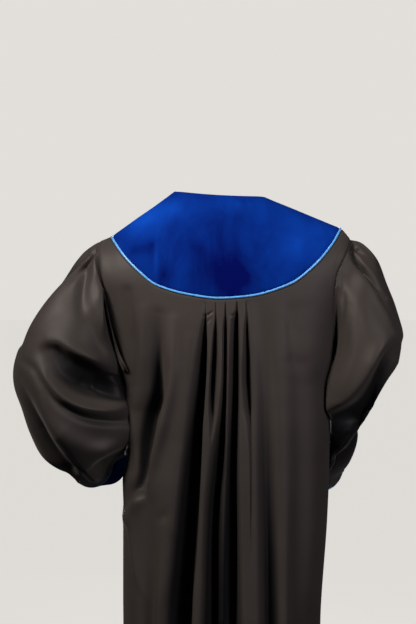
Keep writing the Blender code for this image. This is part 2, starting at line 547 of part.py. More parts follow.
def panel_grid(columns, side, front):
    """Points and normals of a torso panel from its top edge to the hem."""
    cols = signed(columns, side)
    n = len(cols)
    upper = (1.0 - np.cos(math.pi * np.arange(ARMHOLE_ROWS + 1) / ARMHOLE_ROWS)) / 2.0
    t = np.arange(1, SKIRT_ROWS + 1) / SKIRT_ROWS
    lower = UNDERARM_Z + (HEM_Z - UNDERARM_Z) * (0.75 * t + 0.25 * t**2)
    x0 = np.array([share_to_x(c.top, TOP_LEFT.x, TOP_RIGHT.x) for c in cols])
    inside = [i for i in range(n) if TIP_RIGHT_X - 0.004 < x0[i] < TIP_LEFT_X + 0.004]
    seam, seam_nor, down = yoke_seam([cols[i] for i in inside], front)
    start = np.stack([x0, 0 * x0, shoulder_z(x0)], axis=-1)
    start[inside] = seam + down * CORD_ROOM
    grid, normals = [], []
    for k in range(ARMHOLE_ROWS + SKIRT_ROWS + 1):
        if k <= ARMHOLE_ROWS:
            z = start[:, 2] + (UNDERARM_Z - start[:, 2]) * upper[k]
            zl = TOP_LEFT.z + (UNDERARM_Z - TOP_LEFT.z) * upper[k]
            zr = TOP_RIGHT.z + (UNDERARM_Z - TOP_RIGHT.z) * upper[k]
            left, right = float(armhole_left(zl)), float(armhole_right(zr))
            ease = (1.0 - upper[k]) ** 2
        else:
            z = np.full(n, lower[k - ARMHOLE_ROWS - 1])
            left, right = float(half_left(z[0])), -float(half_right(z[0]))
            ease = 0.0
        w = np.clip((start[:, 2] - z) / (start[:, 2] + 0.560), 0.0, 1.15)
        x = []
        for i, c in enumerate(cols):
            share = c.top + (c.low - c.top) * w[i]
            base = share_to_x(share, left, right, k > ARMHOLE_ROWS)
            x.append(base + (start[i, 0] - x0[i]) * ease + tip_lean(c.top, k, upper))
        pts, nor = torso_base(np.array(x), z, front)
        press = np.array([c.press for c in cols]) * pleat_depth(z)
        pts = pts + nor * (fold_amount(pts[:, 0], z, front) - press)[:, None]
        if k == 0:
            pts = start.copy()
        grid.append(pts)
        normals.append(nor)
    grid, base = np.array(grid), np.array(normals)
    normals = grid_normals(grid, base)
    # walls at the seams follow the plain form, the same for both neighbours
    normals[0, inside] = seam_nor
    beyond = [i for i in range(n) if i not in inside]
    normals[0, beyond] = ridge_normal(x0[beyond])
    edges = [(0, 1), (n - 1, -1)] if side == 0 else [(0, side)]
    for c, s in edges:
        sleeve = SLEEVES[s]
        index = [(-k if front else k) % sleeve.count for k in range(ARMHOLE_ROWS + 1)]
        grid[:ARMHOLE_ROWS + 1, c] = sleeve.rings[0][index]
        normals[:ARMHOLE_ROWS + 1, c] = sleeve.seam_normal[index]
        normals[ARMHOLE_ROWS + 1:, c] = (s, 0.0, 0.0)
        y = -0.6 * SEAM_GAP if front else 0.6 * SEAM_GAP
        grid[ARMHOLE_ROWS:, c, 1] = y
        grid[0, c, 1] = y
    y = -0.6 * SEAM_GAP if front else 0.6 * SEAM_GAP
    grid[0, beyond, 1] = y
    tips = [i for i in inside if not TIP_RIGHT_X + 0.004 < x0[i] < TIP_LEFT_X - 0.004]
    grid[0, tips, 1] = y
    if side != 0:
        grid[:, -1, 0] = side * SEAM_GAP / 2.0
        normals[:, -1, 0] = 0.0
        normals[:, -1] = unit(normals[:, -1])
    return grid, normals


def yoke_grid(columns, side, front):
    """Points and normals of a yoke from the neckline to the yoke seam."""
    seam, seam_nor, down = yoke_seam(signed(columns, side), front)
    xs = seam[:, 0]
    if front:
        # fronts meet on the centre line, so each half scales on its own
        span = np.where(xs >= 0, xs / TIP_LEFT_X, xs / TIP_RIGHT_X)
        neck_x = span * np.where(xs >= 0, NECK_LEFT_X, NECK_RIGHT_X)
        dip = NECK_DIP_FRONT * (1.0 - span**2.4)
    else:
        share = (xs - TIP_RIGHT_X) / (TIP_LEFT_X - TIP_RIGHT_X)
        neck_x = NECK_RIGHT_X + share * (NECK_LEFT_X - NECK_RIGHT_X)
        dip = NECK_DIP_BACK * (1.0 - (2.0 * share - 1.0) ** 2)
    corner_l = float(shoulder_z(NECK_LEFT_X))
    corner_r = float(shoulder_z(NECK_RIGHT_X))
    along = (neck_x - NECK_RIGHT_X) / (NECK_LEFT_X - NECK_RIGHT_X)
    neck_z = corner_r + (corner_l - corner_r) * along - dip
    last = seam - down * CORD_ROOM
    grid, normals = [], []
    for r in range(YOKE_ROWS + 1):
        v = r / YOKE_ROWS
        x = neck_x + (last[:, 0] - neck_x) * v
        z = np.minimum(neck_z + (last[:, 2] - neck_z) * v, shoulder_z(x))
        pts, nor = torso_base(x, z, front)
        if r == YOKE_ROWS:
            pts, nor = last.copy(), seam_nor.copy()
        grid.append(pts)
        normals.append(nor)
    grid, normals = np.array(grid), np.array(normals)
    y = -0.6 * SEAM_GAP if front else 0.6 * SEAM_GAP
    tips = [0] if side != 0 else [0, len(xs) - 1]
    for c in tips:
        grid[:, c, 1] = y
        normals[:, c] = ridge_normal(np.full(YOKE_ROWS + 1, xs[c] * 0.9))
        normals[-1, c] = seam_nor[c]
    if side != 0:
        grid[:, -1, 0] = side * SEAM_GAP / 2.0
        normals[:, -1, 0] = 0.0
        normals[:, -1] = unit(normals[:, -1])
    return grid, normals


# ---------------------------------------------------------- mesh helpers ---
def link_mesh(name, bm, material):
    bmesh.ops.recalc_face_normals(bm, faces=bm.faces[:])
    mesh = bpy.data.meshes.new(name)
    bm.to_mesh(mesh)
    bm.free()
    obj = bpy.data.objects.new(name, mesh)
    bpy.context.collection.objects.link(obj)
    mesh.materials.append(material)
    return obj


def cloth_object(name, grid, normals, thickness, material, closed=False):
    """Cloth wall over a grid of points, its outer face moved out."""
    rows, cols = grid.shape[0], grid.shape[1]
    bm = bmesh.new()
    faces = []
    for layer in (grid, grid + normals * thickness):
        verts = [[bm.verts.new(Vector(p)) for p in line] for line in layer]
        faces.append(verts)
    inner, outer = faces
    last = cols if closed else cols - 1
    for r in range(rows - 1):
        for c in range(last):
            d = (c + 1) % cols
            bm.faces.new([outer[r][c], outer[r + 1][c], outer[r + 1][d], outer[r][d]])
            bm.faces.new([inner[r][c], inner[r][d], inner[r + 1][d], inner[r + 1][c]])
    for c in range(last):
        d = (c + 1) % cols
        for r in (0, rows - 1):
            bm.faces.new([inner[r][c], outer[r][c], outer[r][d], inner[r][d]])
    if not closed:
        for r in range(rows - 1):
            for c in (0, cols - 1):
                bm.faces.new([inner[r][c], inner[r + 1][c], outer[r + 1][c], outer[r][c]])
    obj = link_mesh(name, bm, material)
    for face in obj.data.polygons:
        face.use_smooth = True
    return obj


def cord_object(name, centres, radius, material, closed=False, sides=6):
    """Round cord along a line of points."""
    pts = np.asarray(centres, dtype=float)
    n = len(pts)
    bm = bmesh.new()
    rings = []
    for i in range(n):
        a = pts[(i - 1) % n] if closed else pts[max(i - 1, 0)]
        b = pts[(i + 1) % n] if closed else pts[min(i + 1, n - 1)]
        tangent = Vector(b - a).normalized()
        side = tangent.cross(Vector((0.0, 0.0, 1.0)))
        if side.length < 0.2:
            side = tangent.cross(Vector((0.0, 1.0, 0.0)))
        side.normalize()
        up = side.cross(tangent).normalized()
        rings.append([bm.verts.new(Vector(pts[i]) + radius * (
            math.cos(2 * math.pi * j / sides) * side
            + math.sin(2 * math.pi * j / sides) * up)) for j in range(sides)])
    for i in range(n if closed else n - 1):
        r0, r1 = rings[i], rings[(i + 1) % n]
        for j in range(sides):
            k = (j + 1) % sides
            bm.faces.new([r0[j], r0[k], r1[k], r1[j]])
    if not closed:
        bm.faces.new(rings[0][::-1])
        bm.faces.new(rings[-1])
    obj = link_mesh(name, bm, material)
    for face in obj.data.polygons:
        face.use_smooth = len(face.vertices) == 4
    return obj


# ------------------------------------------------------------------ pieces --
def build_yoke_piping(name, columns, side, front, material):
    seam, nor, _ = yoke_seam(signed(columns, side), front)
    line = seam + nor * (VELVET * 0.6)
    y = -0.0016 if front else 0.0016
    tips = [0] if side != 0 else [0, -1]
    for c in tips:
        line[c, 1] = y
    if side != 0:
        line[-1, 0] = side * SEAM_GAP / 2.0
    return cord_object(name, line, PIPING_R, material)


def build_fly(name, fronts, material):
    """Strip over the front closure, laid on the points of both fronts."""
    lift = CLOTH + SEAM_GAP
    rows, normals = [], []
    total = ARMHOLE_ROWS + SKIRT_ROWS + 1
    for k in range(1, total):
        line, nor = [], []
        for side, edge in ((1, True), (0, False), (-1, True)):
            grid, gn = fronts[side if side else 1]
            centre, nxt = grid[k, -1], grid[k, -2]
            t = abs((FLY_WIDTH / 2.0) / nxt[0]) if edge else 0.0
            p = centre + (nxt - centre) * t
            n = unit(gn[k, -1] + (gn[k, -2] - gn[k, -1]) * t)
            if not edge:
                p = np.array([0.0, p[1], p[2]])
            if k == total - 1:
                p = p + np.array([0.0, 0.0, 0.003])
            line.append(p + n * lift)
            nor.append(n)
        rows.append(line)
        normals.append(nor)
    return cloth_object(name, np.array(rows), np.array(normals), CLOTH, material)


def build_cuff(name, sleeve, material):
    rad = np.radians(sleeve.degrees)
    rows = []
    for dist, r in ((CORD_ROOM, CUFF_R), (CUFF_LENGTH * 0.5, CUFF_R * 1.01),
                    (CUFF_LENGTH, CUFF_R * 1.02)):
        rows.append(sleeve.centre + sleeve.axis * dist + r * sleeve.round(rad))
    normals = np.array([sleeve.round(rad)] * len(rows))
    return cloth_object(name, np.array(rows), normals, VELVET, material, closed=True)


def build_cuff_piping(name, sleeve, material):
    rad = np.radians(sleeve.degrees)
    ring = sleeve.centre + (CUFF_R + VELVET * 0.6) * sleeve.round(rad)
    return cord_object(name, ring, PIPING_R, material, closed=True)


# ------------------------------------------------------------------- build --
def build():
    for obj in list(bpy.data.objects):
        bpy.data.objects.remove(obj, do_unlink=True)

    def material(finish, owner):
        mat = make_material(finish)
        mat.name = owner + "_" + finish.name
        return mat

    back_inside = BACK_COLUMNS[2:-2]
    front_inside = FRONT_COLUMNS[2:]
    words = ((1, "left"), (-1, "right"))

    grid, normals = panel_grid(BACK_COLUMNS, 0, False)
    cloth_object("back_panel", grid, normals, CLOTH, material(ROBE_CLOTH, "back_panel"))
    fronts = {}
    for side, word in words:
        owner = "front_" + word
        fronts[side] = panel_grid(FRONT_COLUMNS, side, True)
        cloth_object(owner, fronts[side][0], fronts[side][1], CLOTH,
                     material(ROBE_CLOTH, owner))
    build_fly("front_fly", fronts, material(ROBE_CLOTH, "front_fly"))

    grid, normals = yoke_grid(back_inside, 0, False)
    cloth_object("yoke_back", grid, normals, VELVET, material(BLUE_VELVET, "yoke_back"))
    build_yoke_piping("piping_back", back_inside, 0, False,
                      material(BLUE_SATIN, "piping_back"))
    for side, word in words:
        owner = "yoke_front_" + word
        grid, normals = yoke_grid(front_inside, side, True)
        cloth_object(owner, grid, normals, VELVET, material(BLUE_VELVET, owner))
        owner = "piping_front_" + word
        build_yoke_piping(owner, front_inside, side, True, material(BLUE_SATIN, owner))

    for side, word in words:
        sleeve = SLEEVES[side]
        owner = "sleeve_" + word
        rings, normals = sleeve.grid()
        cloth_object(owner, rings, normals, CLOTH, material(ROBE_CLOTH, owner), closed=True)
        owner = "cuff_" + word
        build_cuff(owner, sleeve, material(BLUE_VELVET, owner))
        owner = "piping_cuff_" + word
        build_cuff_piping(owner, sleeve, material(BLUE_SATIN, owner))


build()
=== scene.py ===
"""Looks of the judicial robe: fine cloth, velvet, piping, light and camera.

Metres, +Z up.  The back of the robe faces +Y and the wearer's left is +X.
The panels, sleeves and yoke follow the same tables as the solids; the folds
are given in tables of their own.
"""

import math
from collections import namedtuple

import bpy
import numpy as np
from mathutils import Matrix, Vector


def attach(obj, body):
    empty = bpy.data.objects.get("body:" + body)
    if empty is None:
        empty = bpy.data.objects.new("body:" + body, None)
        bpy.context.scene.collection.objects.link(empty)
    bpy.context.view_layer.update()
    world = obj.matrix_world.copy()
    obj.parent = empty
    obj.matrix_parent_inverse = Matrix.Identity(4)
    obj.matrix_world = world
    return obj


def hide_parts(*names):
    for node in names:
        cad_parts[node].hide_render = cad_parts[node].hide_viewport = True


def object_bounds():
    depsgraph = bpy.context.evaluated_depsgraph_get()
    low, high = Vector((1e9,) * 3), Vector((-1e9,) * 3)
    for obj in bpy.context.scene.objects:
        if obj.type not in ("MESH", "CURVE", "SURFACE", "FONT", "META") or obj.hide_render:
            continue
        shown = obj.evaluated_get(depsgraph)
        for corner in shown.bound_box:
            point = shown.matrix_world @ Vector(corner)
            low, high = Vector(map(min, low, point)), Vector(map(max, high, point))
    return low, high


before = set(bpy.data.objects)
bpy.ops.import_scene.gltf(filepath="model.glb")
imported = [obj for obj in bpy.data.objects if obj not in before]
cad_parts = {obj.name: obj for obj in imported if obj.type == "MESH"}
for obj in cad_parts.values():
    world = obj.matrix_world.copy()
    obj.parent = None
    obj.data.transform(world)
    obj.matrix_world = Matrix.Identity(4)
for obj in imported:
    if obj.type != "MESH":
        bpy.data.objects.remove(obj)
cad_lo, cad_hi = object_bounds()
cad_lo, cad_hi = cad_lo.copy(), cad_hi.copy()

# ---------------------------------------------------------------- sizes ----
SEAM_GAP = 0.0003          # between neighbouring pieces
CLOTH = 0.0015             # robe cloth wall
VELVET = 0.0021            # velvet wall with its pile
PIPING_R = 0.0023          # corded piping, radius
NECK_DIP_BACK = 0.006      # back neckline below the line of its corners
NECK_DIP_FRONT = 0.088     # front neckline below the same line
UNDERARM_Z = -0.406
HEM_Z = -1.350
ROUNDNESS = 2.5            # exponent of the torso rings
SHOULDER_ROUND_MID = 0.200  # height over which the back rolls to the shoulder
SHOULDER_ROUND_END = 0.105  # the same at the armhole
ARMHOLE_ROWS = 10          # rows from the shoulder to the underarm
SKIRT_ROWS = 9             # rows from the underarm to the hem
YOKE_ROWS = 5
CUFF_LENGTH = 0.066
CUFF_R = 0.058
FLY_WIDTH = 0.040

# half widths and depths of the torso form at each height
Ring = namedtuple("Ring", "z left right back front")
TORSO = [
    Ring(0.040, 0.370, 0.360, 0.104, 0.092),
    Ring(-0.090, 0.350, 0.340, 0.117, 0.116),
    Ring(-0.160, 0.318, 0.290, 0.128, 0.131),
    Ring(-0.220, 0.295, 0.2725, 0.135, 0.141),
    Ring(-0.280, 0.272, 0.258, 0.139, 0.148),
    Ring(-0.350, 0.246, 0.241, 0.141, 0.152),
    Ring(-0.406, 0.2240, 0.2255, 0.141, 0.153),
    Ring(-0.460, 0.2125, 0.2250, 0.140, 0.153),
    Ring(-0.520, 0.2090, 0.2240, 0.140, 0.154),
    Ring(-0.570, 0.2140, 0.2228, 0.141, 0.156),
    Ring(-0.610, 0.2215, 0.2220, 0.143, 0.158),
    Ring(-0.690, 0.2203, 0.2185, 0.147, 0.162),
    Ring(-0.925, 0.2203, 0.2042, 0.160, 0.172),
    Ring(-1.100, 0.2400, 0.2240, 0.175, 0.185),
    Ring(-1.350, 0.2680, 0.2560, 0.202, 0.208),
]

# shoulder line from the right armhole over the neck to the left armhole
Shoulder = namedtuple("Shoulder", "x z")
SHOULDER = [
    Shoulder(-0.2701, -0.0908),
    Shoulder(-0.2484, -0.0669),
    Shoulder(-0.2284, -0.0587),
    Shoulder(-0.1000, -0.0059),
    Shoulder(-0.0792, 0.0026),
    Shoulder(0.0140, 0.0330),
    Shoulder(0.1074, 0.0134),
    Shoulder(0.1274, -0.0007),
    Shoulder(0.2263, -0.0701),
    Shoulder(0.2463, -0.0842),
    Shoulder(0.2724, -0.0951),
]
NECK_LEFT_X = 0.1074
NECK_RIGHT_X = -0.0792
TIP_LEFT_X = 0.2463        # where the yoke edge crosses the shoulder
TIP_RIGHT_X = -0.2484

# armhole seam: distance from the centre back at each height
Armhole = namedtuple("Armhole", "z x")
ARMHOLE_LEFT = [
    Armhole(-0.0951, 0.2724), Armhole(-0.1575, 0.2659),
    Armhole(-0.2193, 0.2574), Armhole(-0.2768, 0.2467),
    Armhole(-0.3514, 0.2318), Armhole(-0.4060, 0.2240),
]
ARMHOLE_RIGHT = [
    Armhole(-0.0908, -0.2701), Armhole(-0.1400, -0.2470),
    Armhole(-0.1739, -0.2320), Armhole(-0.2212, -0.2272),
    Armhole(-0.3000, -0.2264), Armhole(-0.4060, -0.2255),
]

# lower edge of the yoke, right tip to left tip
Edge = namedtuple("Edge", "x z")
YOKE_EDGE_BACK = [
    Edge(-0.2484, -0.0669), Edge(-0.2226, -0.1060), Edge(-0.1811, -0.1522),
    Edge(-0.1309, -0.1886), Edge(-0.0451, -0.2138), Edge(0.0151, -0.2179),
    Edge(0.0817, -0.2095), Edge(0.1447, -0.1905), Edge(0.1836, -0.1605),
    Edge(0.2153, -0.1274), Edge(0.2463, -0.0842),
]
YOKE_EDGE_FRONT = [
    Edge(-0.2484, -0.0669), Edge(-0.2200, -0.1180), Edge(-0.1750, -0.1700),
    Edge(-0.1100, -0.2130), Edge(0.0000, -0.2340), Edge(0.1100, -0.2150),
    Edge(0.1750, -0.1760), Edge(0.2180, -0.1270), Edge(0.2463, -0.0842),
]

# sleeve rings from the armhole to the cuff: point on the outer edge, point
# on the inner edge, half depth to the back and to the front
Station = namedtuple("Station", "xo yo zo xi yi zi back fore")
SLEEVE_LEFT = [
    Station(0.3080, 0.004, -0.1180, 0.2330, 0.000, -0.4130, 0.100, 0.095),
    Station(0.3490, 0.006, -0.1580, 0.2370, 0.000, -0.4220, 0.118, 0.108),
    Station(0.3980, 0.010, -0.2080, 0.2380, 0.002, -0.4300, 0.130, 0.115),
    Station(0.4380, 0.014, -0.2700, 0.2370, 0.004, -0.4380, 0.136, 0.116),
    Station(0.4560, 0.016, -0.3300, 0.2350, 0.004, -0.4480, 0.136, 0.112),
    Station(0.4600, 0.016, -0.3900, 0.2340, 0.002, -0.4590, 0.132, 0.104),
    Station(0.4370, 0.010, -0.4500, 0.2350, -0.002, -0.4710, 0.124, 0.088),
    Station(0.4180, 0.002, -0.5080, 0.2390, -0.008, -0.4830, 0.112, 0.072),
    Station(0.4010, -0.008, -0.5560, 0.2480, -0.012, -0.4970, 0.096, 0.058),
    Station(0.3640, -0.036, -0.5870, 0.2640, -0.034, -0.5150, 0.078, 0.068),
]
SLEEVE_RIGHT = [
    Station(-0.2980, 0.004, -0.0990, -0.2350, 0.000, -0.4130, 0.100, 0.095),
    Station(-0.3340, 0.008, -0.1330, -0.2390, 0.000, -0.4220, 0.118, 0.105),
    Station(-0.3610, 0.012, -0.1850, -0.2400, 0.000, -0.4300, 0.130, 0.110),
    Station(-0.3810, 0.014, -0.2380, -0.2390, -0.002, -0.4380, 0.136, 0.108),
    Station(-0.3870, 0.012, -0.3020, -0.2380, -0.006, -0.4480, 0.134, 0.102),
    Station(-0.3710, 0.004, -0.3500, -0.2380, -0.014, -0.4590, 0.128, 0.093),
    Station(-0.3360, -0.006, -0.4030, -0.2430, -0.026, -0.4720, 0.118, 0.084),
    Station(-0.3180, -0.024, -0.4600, -0.2430, -0.044, -0.4880, 0.104, 0.076),
    Station(-0.3040, -0.052, -0.5280, -0.2460, -0.070, -0.5060, 0.092, 0.070),
    Station(-0.2880, -0.090, -0.5980, -0.2420, -0.106, -0.5260, 0.080, 0.064),
]
# how far the outer edge moves out at each height, as the photo's camera sees it
Ease = namedtuple("Ease", "z out")
OUTLINE_LEFT = [
    Ease(-0.120, 0.0000), Ease(-0.160, -0.0040), Ease(-0.200, -0.0090), Ease(-0.250, -0.0105),
    Ease(-0.310, -0.0110), Ease(-0.350, -0.0050), Ease(-0.380, -0.0010), Ease(-0.420, 0.0005),
    Ease(-0.460, 0.0040), Ease(-0.540, 0.0052), Ease(-0.562, -0.0010), Ease(-0.590, -0.0100),
    Ease(-0.615, -0.0020),
]
OUTLINE_RIGHT = [
    Ease(-0.110, -0.0010), Ease(-0.134, -0.0060), Ease(-0.156, -0.0095), Ease(-0.178, -0.0135),
    Ease(-0.221, -0.0140), Ease(-0.264, -0.0115), Ease(-0.308, -0.0060), Ease(-0.330, -0.0040),
    Ease(-0.351, -0.0080), Ease(-0.385, -0.0135), Ease(-0.416, -0.0145), Ease(-0.438, -0.0105),
    Ease(-0.460, -0.0040), Ease(-0.482, 0.0053), Ease(-0.503, 0.0105), Ease(-0.525, 0.0090),
    Ease(-0.547, 0.0025), Ease(-0.5685, 0.0000), Ease(-0.590, 0.0020), Ease(-0.612, 0.0060),
]
VIEW_X, VIEW_Y, VIEW_Z = 0.038, 3.0, -0.247
# cuff seam ring: centre and the way the wrist points
Cuff = namedtuple("Cuff", "x y z ax ay az")
CUFF_LEFT = Cuff(0.3000, -0.078, -0.5770, -0.50, -0.86, -0.02)
CUFF_RIGHT = Cuff(-0.2220, -0.180, -0.5980, 0.46, -0.86, -0.10)
TORSO_CLEARANCE = 0.040    # share by which a sleeve stays outside the torso
CROOK_EASE = 2             # how often the rings are eased at the elbow crook
TIP_SWING = {1: 0.020, -1: 0.036}  # columns lean out below the yoke tips

# ------------------------------------------------------- table to curve ----
def curve(keys, values):
    """Smooth curve through table rows, no overshoot between them."""
    k = np.array(keys, dtype=float)
    v = np.array(values, dtype=float)
    order = np.argsort(k)
    k, v = k[order], v[order]
    step = np.diff(k)
    slope = np.diff(v) / step
    m = np.empty_like(v)
    m[0], m[-1] = slope[0], slope[-1]
    a, b = slope[:-1], slope[1:]
    same = a * b > 0
    m[1:-1] = np.where(same, 2 * a * b / np.where(same, a + b, 1.0), 0.0)

    def at(t):
        t = np.clip(np.asarray(t, dtype=float), k[0], k[-1])
        i = np.clip(np.searchsorted(k, t) - 1, 0, len(k) - 2)
        h = step[i]
        s = (t - k[i]) / h
        return ((2 * s**3 - 3 * s**2 + 1) * v[i] + (s**3 - 2 * s**2 + s) * h * m[i]
                + (3 * s**2 - 2 * s**3) * v[i + 1] + (s**3 - s**2) * h * m[i + 1])
    return at


def column_of(table, name):
    return [getattr(row, name) for row in table]


half_left = curve(column_of(TORSO, "z"), column_of(TORSO, "left"))
half_right = curve(column_of(TORSO, "z"), column_of(TORSO, "right"))
depth_back = curve(column_of(TORSO, "z"), column_of(TORSO, "back"))
depth_front = curve(column_of(TORSO, "z"), column_of(TORSO, "front"))
armhole_left = curve(column_of(ARMHOLE_LEFT, "z"), column_of(ARMHOLE_LEFT, "x"))
armhole_right = curve(column_of(ARMHOLE_RIGHT, "z"), column_of(ARMHOLE_RIGHT, "x"))
edge_back = curve(column_of(YOKE_EDGE_BACK, "x"), column_of(YOKE_EDGE_BACK, "z"))
edge_front = curve(column_of(YOKE_EDGE_FRONT, "x"), column_of(YOKE_EDGE_FRONT, "z"))


shoulder_z = curve(column_of(SHOULDER, "x"), column_of(SHOULDER, "z"))


# ------------------------------------------------------------ torso form ---
def torso_depth(x, z, front):
    """Distance of the torso form from the side plane, back or front."""
    x, z = np.broadcast_arrays(np.asarray(x, float), np.asarray(z, float))
    half = np.where(x >= 0, half_left(z), half_right(z))
    share = np.clip(np.abs(x) / half, 0.0, 1.0)
    across = (1.0 - share**ROUNDNESS) ** (1.0 / ROUNDNESS)
    end = np.clip(np.abs(x) / 0.26, 0.0, 1.0)
    roll = SHOULDER_ROUND_MID + (SHOULDER_ROUND_END - SHOULDER_ROUND_MID) * end**2
    drop = np.clip((shoulder_z(x) - z) / roll, 0.0, 1.0)
    over = np.sqrt(1.0 - (1.0 - drop) ** 2)
    depth = depth_front(z) if front else depth_back(z)
    return depth * across * over


def torso_base(x, z, front):
    """Point and outward normal of the plain torso form."""
    x, z = np.broadcast_arrays(np.asarray(x, float), np.asarray(z, float))
    h = 0.0015
    inward = np.where(x >= 0, -1.0, 1.0)
    sign = -1.0 if front else 1.0
    y = torso_depth(x, z, front)
    dx = (torso_depth(x + inward * h, z, front) - y) / (inward * h)
    dz = (y - torso_depth(x, z - h, front)) / h
    normal = np.stack([-dx, sign * np.ones_like(y), -dz], axis=-1)
    normal /= np.linalg.norm(normal, axis=-1, keepdims=True)
    return np.stack([x, sign * y, z], axis=-1), normal

def unit(v):
    v = np.asarray(v, dtype=float)
    return v / np.maximum(np.linalg.norm(v, axis=-1, keepdims=True), 1e-12)


def grid_normals(grid, like, closed=False):
    """Normals across a grid, on the side that the given normals point to."""
    if closed:
        across = np.roll(grid, -1, axis=1) - np.roll(grid, 1, axis=1)
    else:
        across = np.gradient(grid, axis=1)
    n = unit(np.cross(np.gradient(grid, axis=0), across))
    n[np.sum(n * like, axis=-1) < 0] *= -1.0
    return n

def ridge_normal(x):
    """Upward normal of the shoulder line at x."""
    h = 0.004
    slope = (shoulder_z(x + h) - shoulder_z(x - h)) / (2 * h)
    slope = np.where(x > TOP_LEFT.x - h, (TOP_LEFT.z - SHOULDER[-2].z) / (TOP_LEFT.x - SHOULDER[-2].x), slope)
    slope = np.where(x < TOP_RIGHT.x + h, (SHOULDER[1].z - TOP_RIGHT.z) / (SHOULDER[1].x - TOP_RIGHT.x), slope)
    return unit(np.stack([-slope, 0 * slope, 1 + 0 * slope], axis=-1))


TOP_LEFT, TOP_RIGHT = SHOULDER[-1], SHOULDER[0]

# ----------------------------------------------------------------- sleeves --
def armhole_point(side, degrees):
    """Armhole seam on the torso; 0 is the shoulder, 90 the back, 180 the underarm."""
    a = np.asarray(degrees, float) % 360.0
    front = a > 180.0
    t = np.where(front, 360.0 - a, a) / 180.0
    top = TOP_LEFT if side > 0 else TOP_RIGHT
    z = top.z + (UNDERARM_Z - top.z) * (1.0 - np.cos(math.pi * t)) / 2.0
    x = armhole_left(z) if side > 0 else armhole_right(z)
    pb, nb = torso_base(x, z, False)
    pf, nf = torso_base(x, z, True)
    point = np.where(front[:, None], pf, pb)
    normal = np.where(front[:, None], nf, nb)
    normal[t < 0.01] = ridge_normal(np.array(top.x))
    normal[t > 0.99] = (side, 0.0, 0.0)
    return point, normal


def keep_clear(points):
    """Push points out until they stand clear of the torso form."""
    x, y, z = points[..., 0], points[..., 1], points[..., 2]
    half = np.where(x >= 0, half_left(z), half_right(z))
    depth = np.where(y >= 0, depth_back(z), depth_front(z))
    q = (np.abs(x) / half) ** ROUNDNESS + (np.abs(y) / depth) ** ROUNDNESS
    grow = np.maximum(1.0, (1.0 + TORSO_CLEARANCE) / np.maximum(q, 1e-9) ** (1.0 / ROUNDNESS))
    out = points.copy()
    low = z < UNDERARM_Z + 0.004
    out[..., 0] = np.where(low, x * grow, x)
    out[..., 1] = np.where(low, y * grow, y)
    return out


class Sleeve:
    """Rings of one sleeve with the frame of its cuff seam."""

    def __init__(self, side, stations, cuff):
        self.side = side
        self.axis = unit([cuff.ax, cuff.ay, cuff.az])
        self.centre = np.array([cuff.x, cuff.y, cuff.z])
        self.count = 2 * ARMHOLE_ROWS
        self.degrees = np.arange(self.count) * 360.0 / self.count
        self.outs = [np.array([s.xo, s.yo, s.zo]) for s in stations]
        self.ins = [np.array([s.xi, s.yi, s.zi]) for s in stations]
        self.stations = stations
        mids = [(o + i) / 2.0 for o, i in zip(self.outs, self.ins)]
        seam, self.torso_normal = armhole_point(side, self.degrees)
        self.path = [seam[[0, ARMHOLE_ROWS]].mean(axis=0)] + mids + [self.centre]
        rings = [seam]
        rad = np.radians(self.degrees)
        b = np.array([0.0, 1.0, 0.0])
        for n, s in enumerate(stations):
            a = (self.outs[n] - self.ins[n]) / 2.0
            nxt = unit(np.cross(self.path[n + 2] - self.path[n], a))
            b = nxt if np.dot(nxt, b) > 0 else -nxt
            wide = np.where(np.sin(rad) >= 0, s.back, s.fore)
            rings.append(mids[n] + np.cos(rad)[:, None] * a
                         + (np.sin(rad) * wide)[:, None] * b)
        a = (self.outs[-1] - self.ins[-1]) / 2.0
        self.a = unit(a - self.axis * np.dot(a, self.axis))
        nxt = unit(np.cross(self.axis, self.a))
        self.b = nxt if np.dot(nxt, b) > 0 else -nxt
        rings.append(self.centre + CUFF_R * self.round(rad))
        rings = np.array(rings)
        # the cloth eases over the crook of the elbow instead of creasing there
        crook = ((1.0 - np.cos(rad - math.radians(45.0))) / 2.0)[None, :, None]
        for _ in range(CROOK_EASE):
            mean = (rings[:-2] + rings[2:]) / 2.0
            rings[1:-1] += 0.5 * crook * (mean - rings[1:-1])
        # the outer edge follows the outline that the camera sees
        outline = OUTLINE_LEFT if side > 0 else OUTLINE_RIGHT
        seen = VIEW_Y / (VIEW_Y - rings[1:-1, :, 1])
        level = VIEW_Z + (rings[1:-1, :, 2] - VIEW_Z) * seen
        out = curve(column_of(outline, "z"), column_of(outline, "out"))(level)
        weight = np.clip((np.cos(rad - math.radians(25.0)) - 0.1) / 0.7, 0.0, 1.0)
        weight = weight * weight * (3.0 - 2.0 * weight)
        rings[1:-1, :, 0] += side * out * weight[None, :] / seen
        rings[1:-1] = keep_clear(rings[1:-1])
        self.rings = rings
        # the seam wall lies between torso and sleeve, so both share it
        along = unit(rings[1] - rings[0])
        tangent = np.roll(rings[0], -1, axis=0) - np.roll(rings[0], 1, axis=0)
        own = unit(np.cross(tangent, along))
        out = rings[0] - rings[0].mean(axis=0)
        own[np.sum(own * out, axis=-1) < 0] *= -1.0
        self.seam_normal = unit(own + self.torso_normal)
        lean = np.linalg.norm(np.cross(along, self.seam_normal), axis=-1)
        self.seam_shift = along * (SEAM_GAP * 1.2 / np.maximum(lean, 0.35))[:, None]

    def round(self, rad):
        return np.cos(rad)[:, None] * self.a + np.sin(rad)[:, None] * self.b

CORD_ROOM = PIPING_R + SEAM_GAP
SLEEVES = {
    1: Sleeve(1, SLEEVE_LEFT, CUFF_LEFT),
    -1: Sleeve(-1, SLEEVE_RIGHT, CUFF_RIGHT),
}


